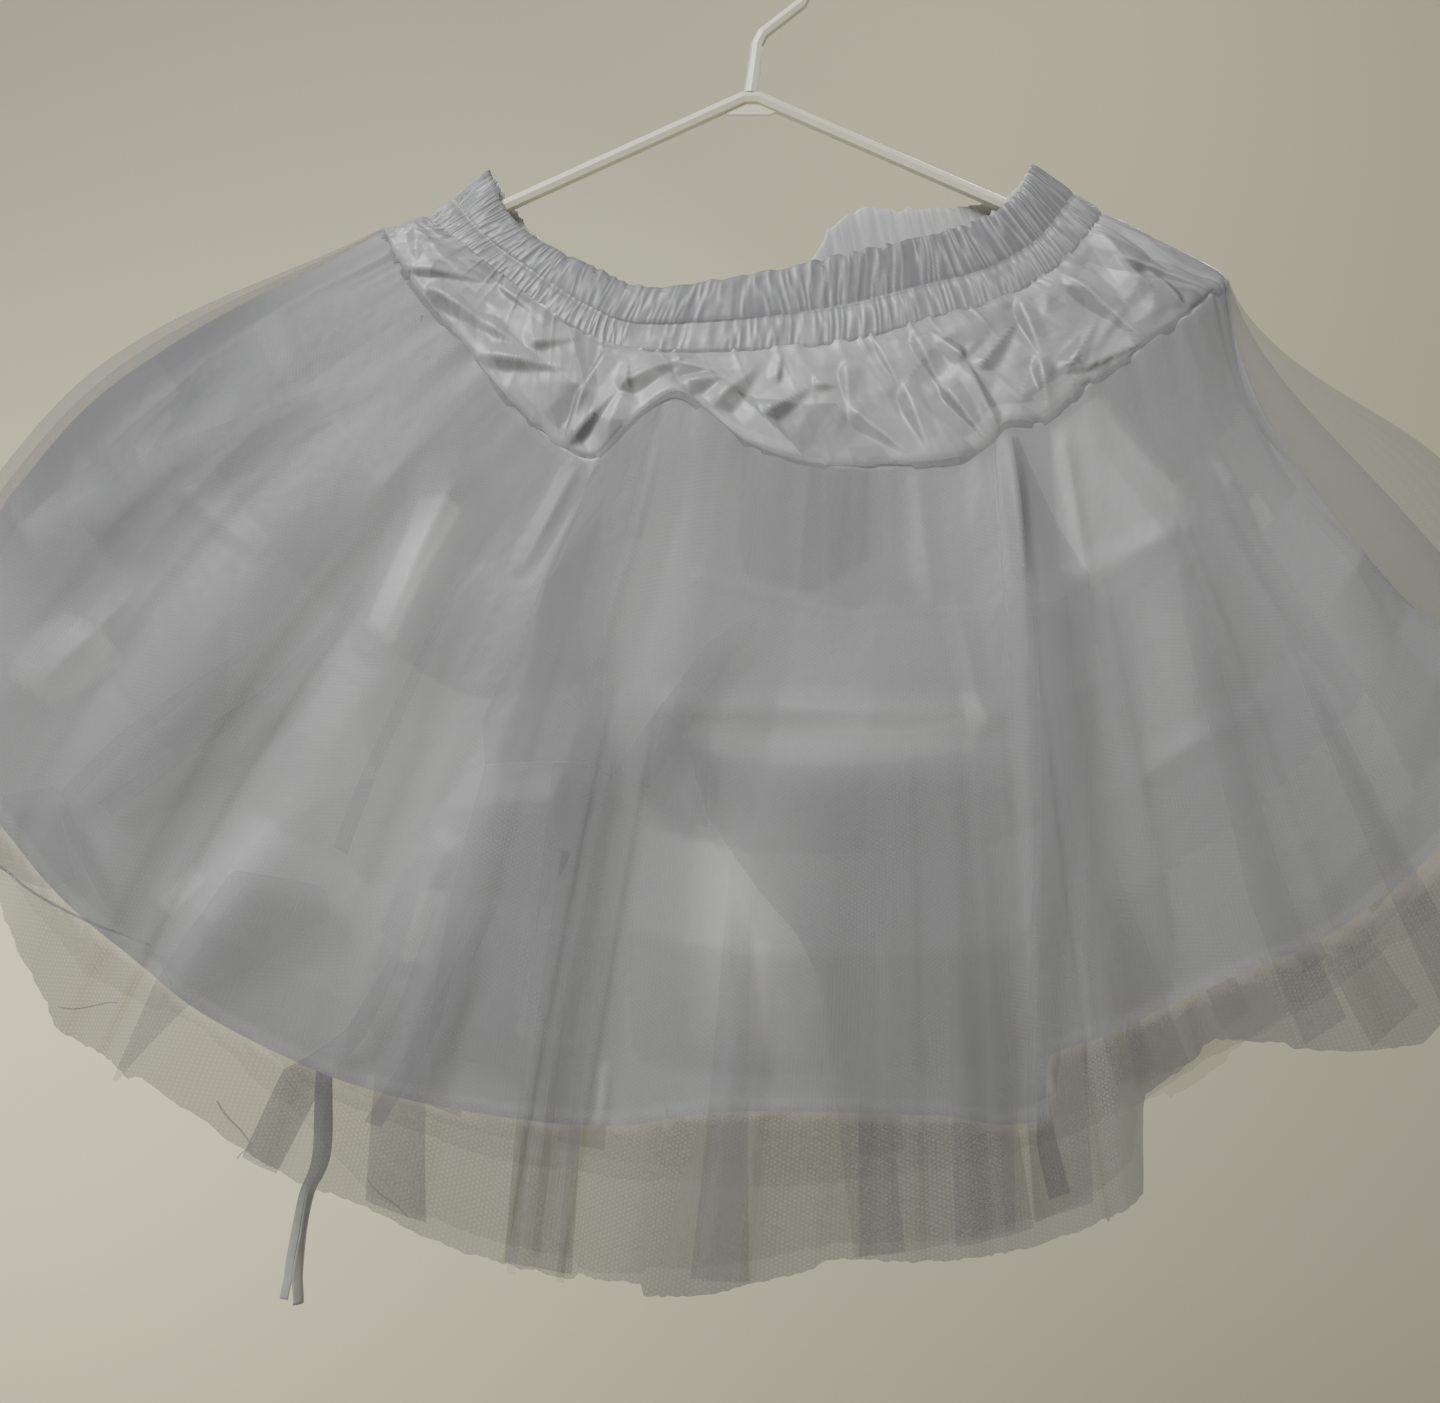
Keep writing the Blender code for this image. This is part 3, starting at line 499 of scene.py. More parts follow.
# %% Tables of the folds
PLEAT_NAMES = "seam   hem    half   height begins crisp"
LARGE_FRONT = table(
    PLEAT_NAMES,
    (0.070, 0.060, 0.050, 9,     0.20,  0),
    (0.165, 0.180, 0.045, 12,    0.10,  1),
    (0.262, 0.275, 0.030, 9,     0.02,  1),
    (0.525, 0.520, 0.200, 11,    0.00,  1),
    (0.415, 0.400, 0.040, 6,     0.35,  -1),
    (0.560, 0.560, 0.045, 5,     0.45,  0),
    (0.660, 0.668, 0.042, 6,     0.30,  1),
    (0.770, 0.768, 0.026, 7,     0.00,  -1),
    (0.855, 0.850, 0.040, 11,    0.05,  -1),
    (0.945, 0.940, 0.034, 9,     0.15,  0),
)
LARGE_BACK = table(
    PLEAT_NAMES,
    (0.110, 0.110, 0.060, 8,     0.15,  0),
    (0.255, 0.265, 0.055, 9,     0.05,  1),
    (0.420, 0.430, 0.050, 7,     0.10,  0),
    (0.600, 0.590, 0.060, 9,     0.05,  -1),
    (0.760, 0.765, 0.045, 8,     0.10,  1),
    (0.900, 0.900, 0.040, 8,     0.20,  0),
)
LINING_FRONT = table(
    PLEAT_NAMES,
    (0.110, 0.105, 0.022, 4,     0.05,  1),
    (0.225, 0.235, 0.018, 4,     0.08,  -1),
    (0.345, 0.360, 0.018, 4,     0.08,  0),
    (0.468, 0.465, 0.020, 4,     0.50,  1),
    (0.610, 0.612, 0.018, 4,     0.40,  0),
    (0.745, 0.748, 0.014, 4,     0.08,  1),
    (0.815, 0.812, 0.018, 4,     0.08,  -1),
    (0.905, 0.895, 0.020, 4,     0.05,  0),
)
LINING_BACK = table(
    PLEAT_NAMES,
    (0.180, 0.180, 0.022, 4,     0.05,  0),
    (0.340, 0.350, 0.022, 4,     0.08,  1),
    (0.500, 0.510, 0.022, 4,     0.20,  0),
    (0.680, 0.680, 0.022, 4,     0.05,  -1),
    (0.840, 0.835, 0.022, 4,     0.10,  0),
)
INNER_FRONT = table(
    PLEAT_NAMES,
    (0.085, 0.090, 0.026, 5,     0.05,  0),
    (0.205, 0.200, 0.024, 5,     0.05,  1),
    (0.300, 0.335, 0.022, 5,     0.00,  -1),
    (0.500, 0.505, 0.026, 5,     0.30,  1),
    (0.640, 0.645, 0.022, 5,     0.10,  0),
    (0.790, 0.800, 0.022, 5,     0.00,  1),
    (0.880, 0.875, 0.024, 5,     0.05,  0),
)
INNER_BACK = table(
    PLEAT_NAMES,
    (0.140, 0.145, 0.028, 5,     0.05,  0),
    (0.300, 0.310, 0.028, 5,     0.00,  1),
    (0.470, 0.470, 0.028, 5,     0.20,  0),
    (0.640, 0.640, 0.028, 5,     0.05,  -1),
    (0.800, 0.800, 0.028, 5,     0.10,  0),
)
OUTER_FRONT = table(
    PLEAT_NAMES,
    (0.030, 0.028, 0.018, 8,     0.08,  0),
    (0.072, 0.072, 0.020, 9,     0.05,  1),
    (0.116, 0.118, 0.020, 11,    0.02,  1),
    (0.158, 0.160, 0.016, 9,     0.00,  -1),
    (0.192, 0.196, 0.014, 9,     0.05,  1),
    (0.222, 0.228, 0.012, 14,    0.10,  1),
    (0.256, 0.264, 0.018, 8,     0.00,  -1),
    (0.294, 0.304, 0.013, 13,    0.00,  1),
    (0.324, 0.332, 0.010, 10,    0.00,  -1),
    (0.356, 0.364, 0.014, 12,    0.15,  2),
    (0.402, 0.411, 0.008, 10,    0.20,  1),
    (0.420, 0.428, 0.007, 10,    0.20,  -1),
    (0.438, 0.444, 0.008, 10,    0.20,  1),
    (0.488, 0.490, 0.022, 8,     0.25,  0),
    (0.538, 0.542, 0.014, 11,    0.30,  2),
    (0.580, 0.582, 0.016, 7,     0.30,  0),
    (0.620, 0.621, 0.012, 10,    0.20,  2),
    (0.655, 0.656, 0.013, 7,     0.10,  0),
    (0.690, 0.692, 0.019, 10,    0.05,  2),
    (0.731, 0.732, 0.009, 6,     0.00,  1),
    (0.760, 0.760, 0.013, 9,     0.00,  -1),
    (0.797, 0.797, 0.011, 12,    0.00,  1),
    (0.828, 0.828, 0.015, 9,     0.00,  -1),
    (0.862, 0.862, 0.013, 11,    0.02,  1),
    (0.893, 0.893, 0.012, 11,    0.03,  1),
    (0.932, 0.932, 0.018, 9,     0.05,  0),
    (0.970, 0.970, 0.014, 8,     0.10,  0),
)
OUTER_BACK = table(
    PLEAT_NAMES,
    (0.035, 0.035, 0.022, 8,     0.08,  0),
    (0.090, 0.092, 0.026, 9,     0.05,  1),
    (0.150, 0.155, 0.028, 10,    0.02,  1),
    (0.215, 0.222, 0.026, 9,     0.00,  -1),
    (0.280, 0.286, 0.028, 10,    0.00,  1),
    (0.345, 0.350, 0.026, 9,     0.05,  2),
    (0.410, 0.414, 0.026, 10,    0.05,  1),
    (0.480, 0.480, 0.030, 8,     0.10,  0),
    (0.550, 0.550, 0.026, 10,    0.05,  -1),
    (0.615, 0.612, 0.026, 9,     0.02,  2),
    (0.680, 0.676, 0.028, 10,    0.00,  -1),
    (0.745, 0.742, 0.026, 10,    0.00,  1),
    (0.805, 0.803, 0.024, 9,     0.03,  -1),
    (0.860, 0.860, 0.024, 9,     0.03,  1),
    (0.915, 0.915, 0.022, 9,     0.05,  0),
    (0.965, 0.965, 0.018, 8,     0.10,  0),
)
# Each layer stands off by seam at the hip seam and by off more further down; its left and right
# sides stand off by left and right more, and the right one sags inwards by sag.
LAYERS = {
    "lining": dict(seam=0.0, off=0.0, left=22.0 * MM, right=0.0, sag=20.0 * MM,
                   front=LINING_FRONT, back=LINING_BACK),
    "inner_net": dict(seam=1.0 * MM, off=5.0 * MM, left=20.0 * MM, right=20.0 * MM, sag=4.0 * MM,
                      front=INNER_FRONT, back=INNER_BACK),
    "outer_net": dict(seam=1.8 * MM, off=11.0 * MM, left=20.0 * MM, right=46.0 * MM, sag=0.0,
                      front=OUTER_FRONT, back=OUTER_BACK),
}
FLATTENED = 0.22                       # how much of its height a pressed pleat keeps
SHARE_OVER_FRONT = {"lining": 0.68, "yoke": 0.62, "waistband": 0.60}   # of a ring's columns
# How wide the left and the right side of a pleat are, as shares of its half width, for each kind of
# crispness: even, lying over to the right, lying over to the left, and flat-topped.
PLEAT_SIDES = {0: (1, 1), 1: (1.6, 0.4), -1: (0.4, 1.6), 2: (0.4, 0.4)}
print("pleats of the outer net:", len(OUTER_FRONT["seam"]) + len(OUTER_BACK["seam"]))

# %% Heights of the folds
def pleats(rows, across, down, rounded=False):
    """Sum of a table's pleats: each rises from its feet to its crest and grows as it goes down.

    A rounded one has even sides and an eased crest, a pressed one has straight and uneven sides.
    """
    total = np.zeros(np.broadcast(across, down).shape)
    for seam, hem, half, height, begins, crisp in each_row(rows):
        left, right = PLEAT_SIDES[int(crisp)]
        place = (across - (seam + (hem - seam) * down)) / half
        if rounded:
            shape = ease(1 - np.abs(place / 1.3))
        else:
            shape = np.clip(np.minimum((place + 1) / left, (1 - place) / right), 0, 1)
        total += height * MM * shape * ease((down - begins) / 0.4)
    return total


def stand_off(layer, phi, down):
    """How far a layer of the skirt stands off the unfolded cloth, before its own small creases."""
    made, across, front = LAYERS[layer], across_of(phi), on_front(phi)
    to_side = np.abs(2 * across - 1) ** 4
    lift = made["seam"] + made["off"] * ease(down / 0.45)
    lift = lift + np.where(across < 0.5, made["left"], made["right"]) * to_side * ease(down / 0.5)
    lift = lift - made["sag"] * to_side * (across > 0.5) * np.sin(np.pi * np.clip(down / 0.7, 0, 1))
    lift = lift + 0.6 * np.where(front, pleats(LARGE_FRONT, across, down, True),
                                 pleats(LARGE_BACK, across, down, True))
    return lift + FLATTENED * np.where(front, pleats(made["front"], across, down),
                                       pleats(made["back"], across, down))


def hem_of(layer, phi):
    """The level at which a layer ends: its reach from the hub, as a share of the full fall."""
    seam = line_of(SKIRT_FRONT, SKIRT_BACK, "seam", phi)
    start = np.hypot(seam[0] - HUB[0], seam[1] - HUB[1])
    across, front = across_of(phi), on_front(phi)
    reach = np.where(front, np.interp(across, SKIRT_FRONT["across"], SKIRT_FRONT[layer]),
                     np.interp(across, SKIRT_BACK["across"], SKIRT_BACK[layer])) * MM
    if layer == "lining":
        reach = by_side(phi, SKIRT_FRONT, SKIRT_BACK, layer)
        stepped = ease((across - 0.716) / 0.005) * (1 - ease((across - 0.75) / 0.12))
        reach = reach - HEM_STEP * stepped * front
    return (reach - start) / (FULL_REACH - start)


def ring_places(columns, piece):
    """Places round a closed ring, with the piece's share of the columns over the front."""
    front = round(columns * SHARE_OVER_FRONT[piece])
    return np.concatenate([np.pi * np.arange(front) / front,
                           np.pi * (1 + np.arange(columns - front) / (columns - front))])


print("outer net stands off", (stand_off("outer_net", np.array(1.5), np.array(0.8)) / MM).round(1), "mm")

# %% [markdown]
# ## The satin lining
#
# The lining was folded flat in a packet, and the packet's creases still show: a grid of pressed
# lines with nearly flat facets between them, each tilted its own way, so that some shine and some
# don't.  A cloth simulation has no memory of a packet, so the facets are a net of heights, one
# at each crossing of two pressed lines, with straight slopes between them.

# %% Pressed facets
FACET_HEIGHT = 7.0 * MM                # of the highest crossing
PRESSED_DOWN = np.array([-0.1, 0.0, 0.187, 0.35, 0.50, 0.62, 0.77, 0.9, 1.1])   # shares of the fall
# Shares of the way across of the pressed lines that run down the front, and how many the back has.
PRESSED_FRONT = np.array([0.03, 0.095, 0.185, 0.27, 0.335, 0.40, 0.466, 0.54, 0.61, 0.69, 0.738,
                          0.80, 0.88, 0.935, 0.975])
PRESSED_BACK = 12


def facets(phi, down):
    """Facets of a pressed cloth: straight slopes between heights at the crossings of its creases.

    The second result is a painted sheen from -1 to 1 for each facet, as if it took the light its own way.
    """
    lines = np.concatenate([phi_of(PRESSED_FRONT),
                            np.pi + np.pi * (np.arange(PRESSED_BACK) + 0.5) / PRESSED_BACK])
    heights = np.random.default_rng(11).uniform(-1, 1, (len(lines), len(PRESSED_DOWN)))
    around = (phi + 0.05 * np.sin(7 * down + 3 * phi) * down) % (2 * np.pi)
    level = down + 0.012 * np.sin(5 * phi)
    row = np.clip(np.searchsorted(PRESSED_DOWN, level) - 1, 0, len(PRESSED_DOWN) - 2)
    b = (level - PRESSED_DOWN[row]) / (PRESSED_DOWN[row + 1] - PRESSED_DOWN[row])
    here = (np.searchsorted(lines, around) - 1) % len(lines)
    after = (here + 1) % len(lines)
    a = ((around - lines[here]) % (2 * np.pi)) / ((lines[after] - lines[here]) % (2 * np.pi))
    low = heights[here, row] * (1 - a) + heights[after, row] * a
    high = heights[here, row + 1] * (1 - a) + heights[after, row + 1] * a
    shine = np.random.default_rng(14).uniform(-1, 1, heights.shape)[here, row]
    return FACET_HEIGHT * (low * (1 - b) + high * b) * ease(down / 0.12), shine


print("pressed facets:", (len(PRESSED_FRONT) + PRESSED_BACK) * (len(PRESSED_DOWN) - 1))

# %% [markdown]
# Over the facets lie single creases: long tents of cloth, each with a straight ridge.  The plainest
# ones are placed by a table, and the hidden ones at the back by seeded draws.

# %% Creases of the lining
# Creases on the front, from one end to the other: each is a tent of the given width and height, in
# millimetres.
LINING_CREASES = table(
    "across0 t0     across1 t1     width height",
    (0.46,   0.187, 0.58,   0.187, 6,    1.2),
    (0.60,   0.187, 0.67,   0.187, 6,    1.2),
    (0.46,   0.345, 0.70,   0.345, 14,   3.6),
    (0.672,  0.200, 0.690,  0.345, 12,   2.4),
    (0.790,  0.225, 0.885,  0.255, 13,   2.6),
    (0.815,  0.505, 0.890,  0.525, 14,   2.8),
    (0.226,  0.140, 0.253,  0.335, 24,   6.0),
    (0.100,  0.700, 0.112,  0.570, 26,   6.0),
    (0.097,  0.406, 0.155,  0.377, 9,    1.8),
    (0.922,  0.210, 0.937,  0.300, 10,   3.0),
    (0.913,  0.273, 0.925,  0.600, 10,   2.4),
    (0.790,  0.050, 0.797,  0.230, 8,    3.0),
    (0.735,  0.030, 0.735,  0.190, 8,    3.0),
    (0.823,  0.080, 0.873,  0.294, 14,   3.0),
    (0.455,  0.780, 0.458,  0.840, 5,    4.0),
    (0.486,  0.450, 0.567,  0.680, 36,   6.0),
    (0.336,  0.560, 0.336,  0.700, 14,   3.4),
    (0.302,  0.020, 0.306,  0.160, 10,   3.0),
    (0.400,  0.080, 0.395,  0.330, 22,   4.5),
    (0.560,  0.020, 0.570,  0.180, 24,   2.0),
    (0.640,  0.020, 0.650,  0.190, 12,   2.0),
)
KNIFE_HEIGHT = 2.6 * MM
KNIFE_RISE, KNIFE_DROP = 0.06, 0.014   # how far across it climbs and falls
KNIFE_PLEAT = table(
    "t     across",
    (0.00, 0.728),
    (0.18, 0.735),
    (0.50, 0.722),
    (0.95, 0.716),
)


def tents(flat, starts, ends, widths, heights):
    """Sum of creases shaped like tents: highest on a line from start to end, none a width away."""
    total = np.zeros(flat.shape[:-1])
    for start, end, width, height in zip(starts, ends, widths, heights):
        run = end - start
        share = np.clip(((flat - start) @ run) / (run @ run), 0, 1)
        away = np.linalg.norm(flat - start - share[..., None] * run, axis=-1) / width
        total += height * np.clip(1 - away, 0, 1) ** 1.2 * (0.6 + 0.4 * np.sin(np.pi * share))
    return total


def placed_creases(rows, level, phi, first_level):
    """Tents of a table, laid out on the front in X and Z of the unfolded cloth."""
    flat = unfolded(first_level + level, phi)[..., ::2]
    starts, ends = (unfolded(first_level + rows["t" + end], phi_of(rows["across" + end]))[:, ::2]
                    for end in "01")
    made = tents(flat, starts, ends, rows["width"] * MM, rows["height"] * MM)
    return np.where(on_front(phi), made, 0)


def wandering_creases(count, seed, level, phi, first_level, long, width, height):
    """Tents like those of the table at seeded places on the back."""
    rng = np.random.default_rng(seed)
    flat = unfolded(first_level + level, phi)[..., ::2]
    across, down = rng.uniform(0.04, 0.96, count), rng.uniform(0.02, 0.8, count)
    ends = [unfolded(first_level + d, phi_of(a, False))[:, ::2] for a, d in
            ((across, down), (np.clip(across + rng.uniform(-0.03, 0.03, count), 0, 1),
                              down + rng.uniform(0.3, 1, count) * long))]
    made = tents(flat, *ends, rng.uniform(0.6, 1.6, count) * width,
                 rng.uniform(-1, 1.4, count) * height)
    return np.where(on_front(phi), 0, made)


def knife_pleat(phi, down):
    """One sharp pleat of the lining: the cloth left of it rises to a rim, and drops back at once."""
    aside = across_of(phi) - smooth(down, KNIFE_PLEAT["t"], KNIFE_PLEAT["across"])
    rise = np.where(aside < 0, np.clip(1 + aside / KNIFE_RISE, 0, 1) ** 2,
                    np.clip(1 - aside / KNIFE_DROP, 0, 1))
    return np.where(on_front(phi), KNIFE_HEIGHT * rise * ease(down / 0.25), 0)


def lining_creases(phi, down):
    """Pressed facets, the placed creases, slack ripples that run down, and puckers at the seam."""
    around = phi / (2 * np.pi)
    ripple = patchy(around * 60, down * 5, 3, 60) * (0.5 + 0.8 * down) * MM
    tucked = patchy(around * 130, down * 3, 4, 130) * 1.6 * MM * np.exp(-np.abs(down) / 0.08)
    placed = placed_creases(LINING_CREASES, down, phi, SEAM)
    hidden = wandering_creases(24, 12, down, phi, SEAM, 0.25, 9 * MM, 2.4 * MM)
    return facets(phi, down)[0] + ripple + tucked + placed + hidden + knife_pleat(phi, down)


print("creases placed on the lining's front:", len(LINING_CREASES["t0"]))

# %% [markdown]
# Satin that was pressed flat shines in whole patches with sharp borders.  A finer gloss in the shader could
# bring them out, but here each patch gets a painted highlight or a painted shade in its tone.

# %% Places of painted highlight and shade
# Places on the front with a painted highlight (more than 0) or a painted shade (less than 0): how much,
# then rows of the share of the fall and the left and right ends across, in thousandths.
PAINTED_LIGHT_PLACES = (
    (0.22, ((604, 112, 128), (612, 100, 130), (629, 87, 129), (678, 80, 119),
            (719, 79, 110), (735, 80, 84))),
    (0.34, ((150, 226, 242), (178, 213, 246), (228, 224, 250), (344, 240, 264))),
    (0.16, ((338, 500, 695), (352, 480, 692), (380, 467, 680))),
    (0.25, ((306, 672, 686), (352, 676, 694))),
    (0.06, ((470, 492, 515), (550, 495, 555), (640, 500, 575), (730, 505, 570))),
    (0.04, ((520, 500, 520), (600, 505, 545), (700, 512, 550))),
    (0.30, ((205, 922, 931), (242, 924, 934))),
    (0.28, ((285, 938, 950), (335, 940, 953))),
    (0.14, ((20, 775, 830), (200, 772, 887), (245, 800, 872))),
    (0.12, ((290, 826, 868), (420, 820, 858), (505, 812, 846))),
    (0.30, ((740, 230, 244), (800, 220, 235))),
    (0.25, ((610, 332, 347), (705, 335, 349))),
    (0.16, ((360, 42, 52), (425, 48, 61))),
    (0.30, ((765, 452, 457), (836, 455, 462))),
    (0.10, ((420, 240, 262), (500, 240, 292), (640, 222, 262), (800, 212, 234))),
    (-0.16, ((0, 480, 600), (120, 490, 600), (160, 500, 560))),
    (-0.10, ((400, 100, 150), (560, 100, 200), (640, 130, 190))),
    (-0.12, ((210, 30, 100), (400, 40, 90))),
)


def inside_places(places, phi, down, border=0.002):
    """Sum of the values of the places that hold a point; each fades over a narrow border."""
    across, total = across_of(phi), np.zeros(np.broadcast(phi, down).shape)
    for value, rows in places:
        stations, left, right = np.array(rows).T / 1000
        within = np.minimum(across - np.interp(down, stations, left),
                            np.interp(down, stations, right) - across)
        within = np.minimum(within, 0.5 * np.minimum(down - stations[0], stations[-1] - down))
        total += value * ease(0.5 + within / border / 2) * on_front(phi)
    return total


print("places of another tone:", len(PAINTED_LIGHT_PLACES))

# %% Lining
LINING_TUCKED = 0.03                   # share of the fall by which it runs up under the yoke


def lining_grid(columns=790, rows=125):
    """Points, u, v and tone of the lining, from just under the hip seam to its hem; the tone holds painted
    sheen, highlights and shade.
    """
    phi = ring_places(columns, "lining") + np.zeros((rows, 1))
    hem = hem_of("lining", phi)
    down = -LINING_TUCKED + (hem + LINING_TUCKED) * np.linspace(0, 1, rows)[:, None]
    points = lifted(SEAM + down, phi, stand_off("lining", phi, down) + lining_creases(phi, down))
    # Painted shade on the left side, which turns away from the light.
    painted_left_shade = ease((0.13 - across_of(phi)) / 0.11) * ease(down / 0.3) * ease((0.72 - down) / 0.2)
    # A painted highlight along the hem.
    hem_highlight = ease((down - hem + 0.022) / 0.006)
    # Painted sheen for each facet and the painted highlights and shade of the placed patches go into the
    # tone.
    tone = 0.66 + 0.09 * facets(phi, down)[1] + inside_places(PAINTED_LIGHT_PLACES, phi, down)
    tone = tone - 0.65 * painted_left_shade + 0.2 * hem_highlight
    return points, metres_round(points), down * SKIRT_FALL, tone


lining = cloth_piece("satin_lining", [lining_grid()], satin, ["lining_front", "lining_back"], closed=True)

# %% [markdown]
# ## The two nets
#
# Net is stiff and light: it stands off the satin in crisp pleats whose edges run from the seam to
# the hem.  Where a pleat lies over, the net is double.  The columns of the grid run along the
# pleats' feet and crests, because a grid that crossed them would round them off.  The strips where
# the net lies double are grids of their own, just under the outer face.

# %% Columns along the pleats
def pleat_places(rows, spacing):
    """Seam and hem places of columns along each pleat's feet and crest, filled in to a spacing."""
    seam, hem = [0.0, 1.0], [0.0, 1.0]
    for at_seam, at_hem, half, _, _, crisp in each_row(rows):
        left, right = PLEAT_SIDES[int(crisp)]
        for step in (-1, left - 1, 1 - right, 1):
            if 0.004 < at_seam + half * step < 0.996:
                seam.append(at_seam + half * step)
                hem.append(at_hem + half * step)
    order = np.argsort(seam)
    seam, hem = np.array(seam)[order], np.maximum.accumulate(np.array(hem)[order])
    keep = np.concatenate([[True], np.diff(seam) > 0.0008])
    seam, hem = seam[keep], hem[keep]
    knots = np.arange(len(seam))
    counts = np.maximum(1, np.ceil(np.diff(hem) / spacing)).astype(int)
    fill = np.concatenate([k + np.arange(n) / n for k, n in zip(knots[:-1], counts)] + [[knots[-1]]])
    return np.interp(fill, knots, seam), np.interp(fill, knots, hem)


print("columns of the outer net's front:", len(pleat_places(OUTER_FRONT, 0.003)[0]))

# %% [markdown]
# A net lies close and open on a smooth slope, and shows more, in a painted shade, where it hangs free of
# the satin.

# %% Where a net veils less or more
# Spots on the front where the net lies smooth, open and close over the satin.
OPEN_SPOTS = table(
    "across t     half_across half_t thinning",
    (0.525, 0.54, 0.045,      0.17,  0.45),
    (0.300, 0.50, 0.060,      0.22,  0.25),
    (0.250, 0.72, 0.020,      0.16,  0.30),
    (0.240, 0.24, 0.030,      0.12,  0.35),
    (0.420, 0.24, 0.035,      0.18,  0.25),
    (0.600, 0.34, 0.090,      0.05,  0.25),
)


def open_spots(across, down):
    """How much of its cover a net keeps over the open spots: least at the middle of each."""
    kept = np.ones(np.broadcast(across, down).shape)
    for at, t, wide, tall, thin in each_row(OPEN_SPOTS):
        kept -= thin * ease(1.25 - np.hypot((across - at) / wide, (down - t) / tall))
    return kept


# Panels where the nets lie single: minus how much of their cover, and their rows as before.
SINGLE_PANELS = (
    (-0.40, ((15, 775, 833), (200, 772, 887), (249, 800, 870))),
    (-0.22, ((0, 631, 709), (145, 628, 722), (190, 650, 722))),
    (-0.22, ((290, 828, 868), (501, 812, 845))),
)


def clear_of_satin(phi, down):
    """0 where a net lies over the satin and 1 where it hangs free below the satin's hem."""
    return ease((down - hem_of("lining", phi) + 0.016) / 0.018)


# How much more of a net shows where it hangs free, on the front and on the back.
FREE_COVER = {"outer_net": (0.95, -0.4), "inner_net": (-0.5, -0.7)}


def cover_of(layer, phi, down, seed):
    """How much a net veils at each place, and how free of the satin it hangs, which turns its colour to a
    painted shade.
    """
    front, across = on_front(phi), across_of(phi)
    cover = 1 + 0.16 * patchy(phi / (2 * np.pi) * 50, down * 2, seed, 50)
    free = clear_of_satin(phi, down)
    sides = ease((across - 0.04) / 0.08) * ease((0.97 - across) / 0.07)
    front_more, back_more = FREE_COVER[layer]
    more = np.where(front, front_more + 0.3 * ease((across - 0.33) / 0.06), back_more) * sides
    cover = cover * (1 + free * more) * np.where(front, open_spots(across, down), 1)
    return cover * (1 + inside_places(SINGLE_PANELS, phi, down, 0.004)), free


print("open spots and single panels:", len(OPEN_SPOTS["t"]), "and", len(SINGLE_PANELS))

# %% One layer of net
HEM_PANELS = 76                        # widths of net round the hem, each cut to its own length
NET_TUCKED = 0.02                      # share of the fall by which a net runs up under the yoke


def net_lift(layer, phi, down):
    """How far a net stands off: its own form, or just over the satin's creases where they are higher."""
    own = stand_off(layer, phi, down)
    over = {"inner_net": 0.5 * MM, "outer_net": 1.4 * MM}[layer]
    satin_lift = stand_off("lining", phi, down) + lining_creases(phi, down) + over
    return (own + satin_lift + np.hypot(own - satin_lift, 1.0 * MM)) / 2


def net_layer(layer, rows, spacing, fray, seed):
    """Points, u, v, cover and free of a net whose columns run along its pleats, with a frayed hem."""
    (front_seam, front_hem), (back_seam, back_hem) = (pleat_places(LAYERS[layer][side], spacing)
                                                      for side in ("front", "back"))
    seam = np.concatenate([phi_of(front_seam), phi_of(back_seam, False)[-2:0:-1]])
    hem = np.concatenate([phi_of(front_hem), phi_of(back_hem, False)[-2:0:-1]])
    rng = np.random.default_rng(seed)
    around = hem / (2 * np.pi)
    panels = rng.uniform(-1, 1, HEM_PANELS)[np.floor(around * HEM_PANELS).astype(int) % HEM_PANELS]
    ends = hem_of(layer, hem) + fray * (panels
                                        + 0.25 * patchy(around * 240, 0.5 + 0 * around, seed + 1, 240)
                                        + 0.2 * rng.uniform(-1, 1, len(hem)))
    down = -NET_TUCKED + (ends + NET_TUCKED) * np.linspace(0, 1, rows)[:, None]
    phi = seam + (hem - seam) * down
    around = phi / (2 * np.pi)
    gather = np.abs(patchy(around * 150, down * 4, seed + 2, 150) * 1.3 * MM)
    slack = np.abs(patchy(around * 40, down * 3, seed + 3, 40) * 1.6 * MM * ease(down))
    lift = net_lift(layer, phi, down) + gather * np.exp(-np.abs(down) / 0.12) + slack
    points = lifted(SEAM + down, phi, lift)
    return points, metres_round(points), down * SKIRT_FALL, *cover_of(layer, phi, down, seed + 4)


inner_net = cloth_piece("inner_tulle", [net_layer("inner_net", 50, 0.004, 0.006, 21)], inner_tulle,
                        ["inner_net_front", "inner_net_back"], closed=True)

# %% [markdown]
# A tuck, a pleat's return and a corner of the hem that is turned over are all the same thing: a
# second sheet of net just inside the outer one, with its own left and right edge all the way down.

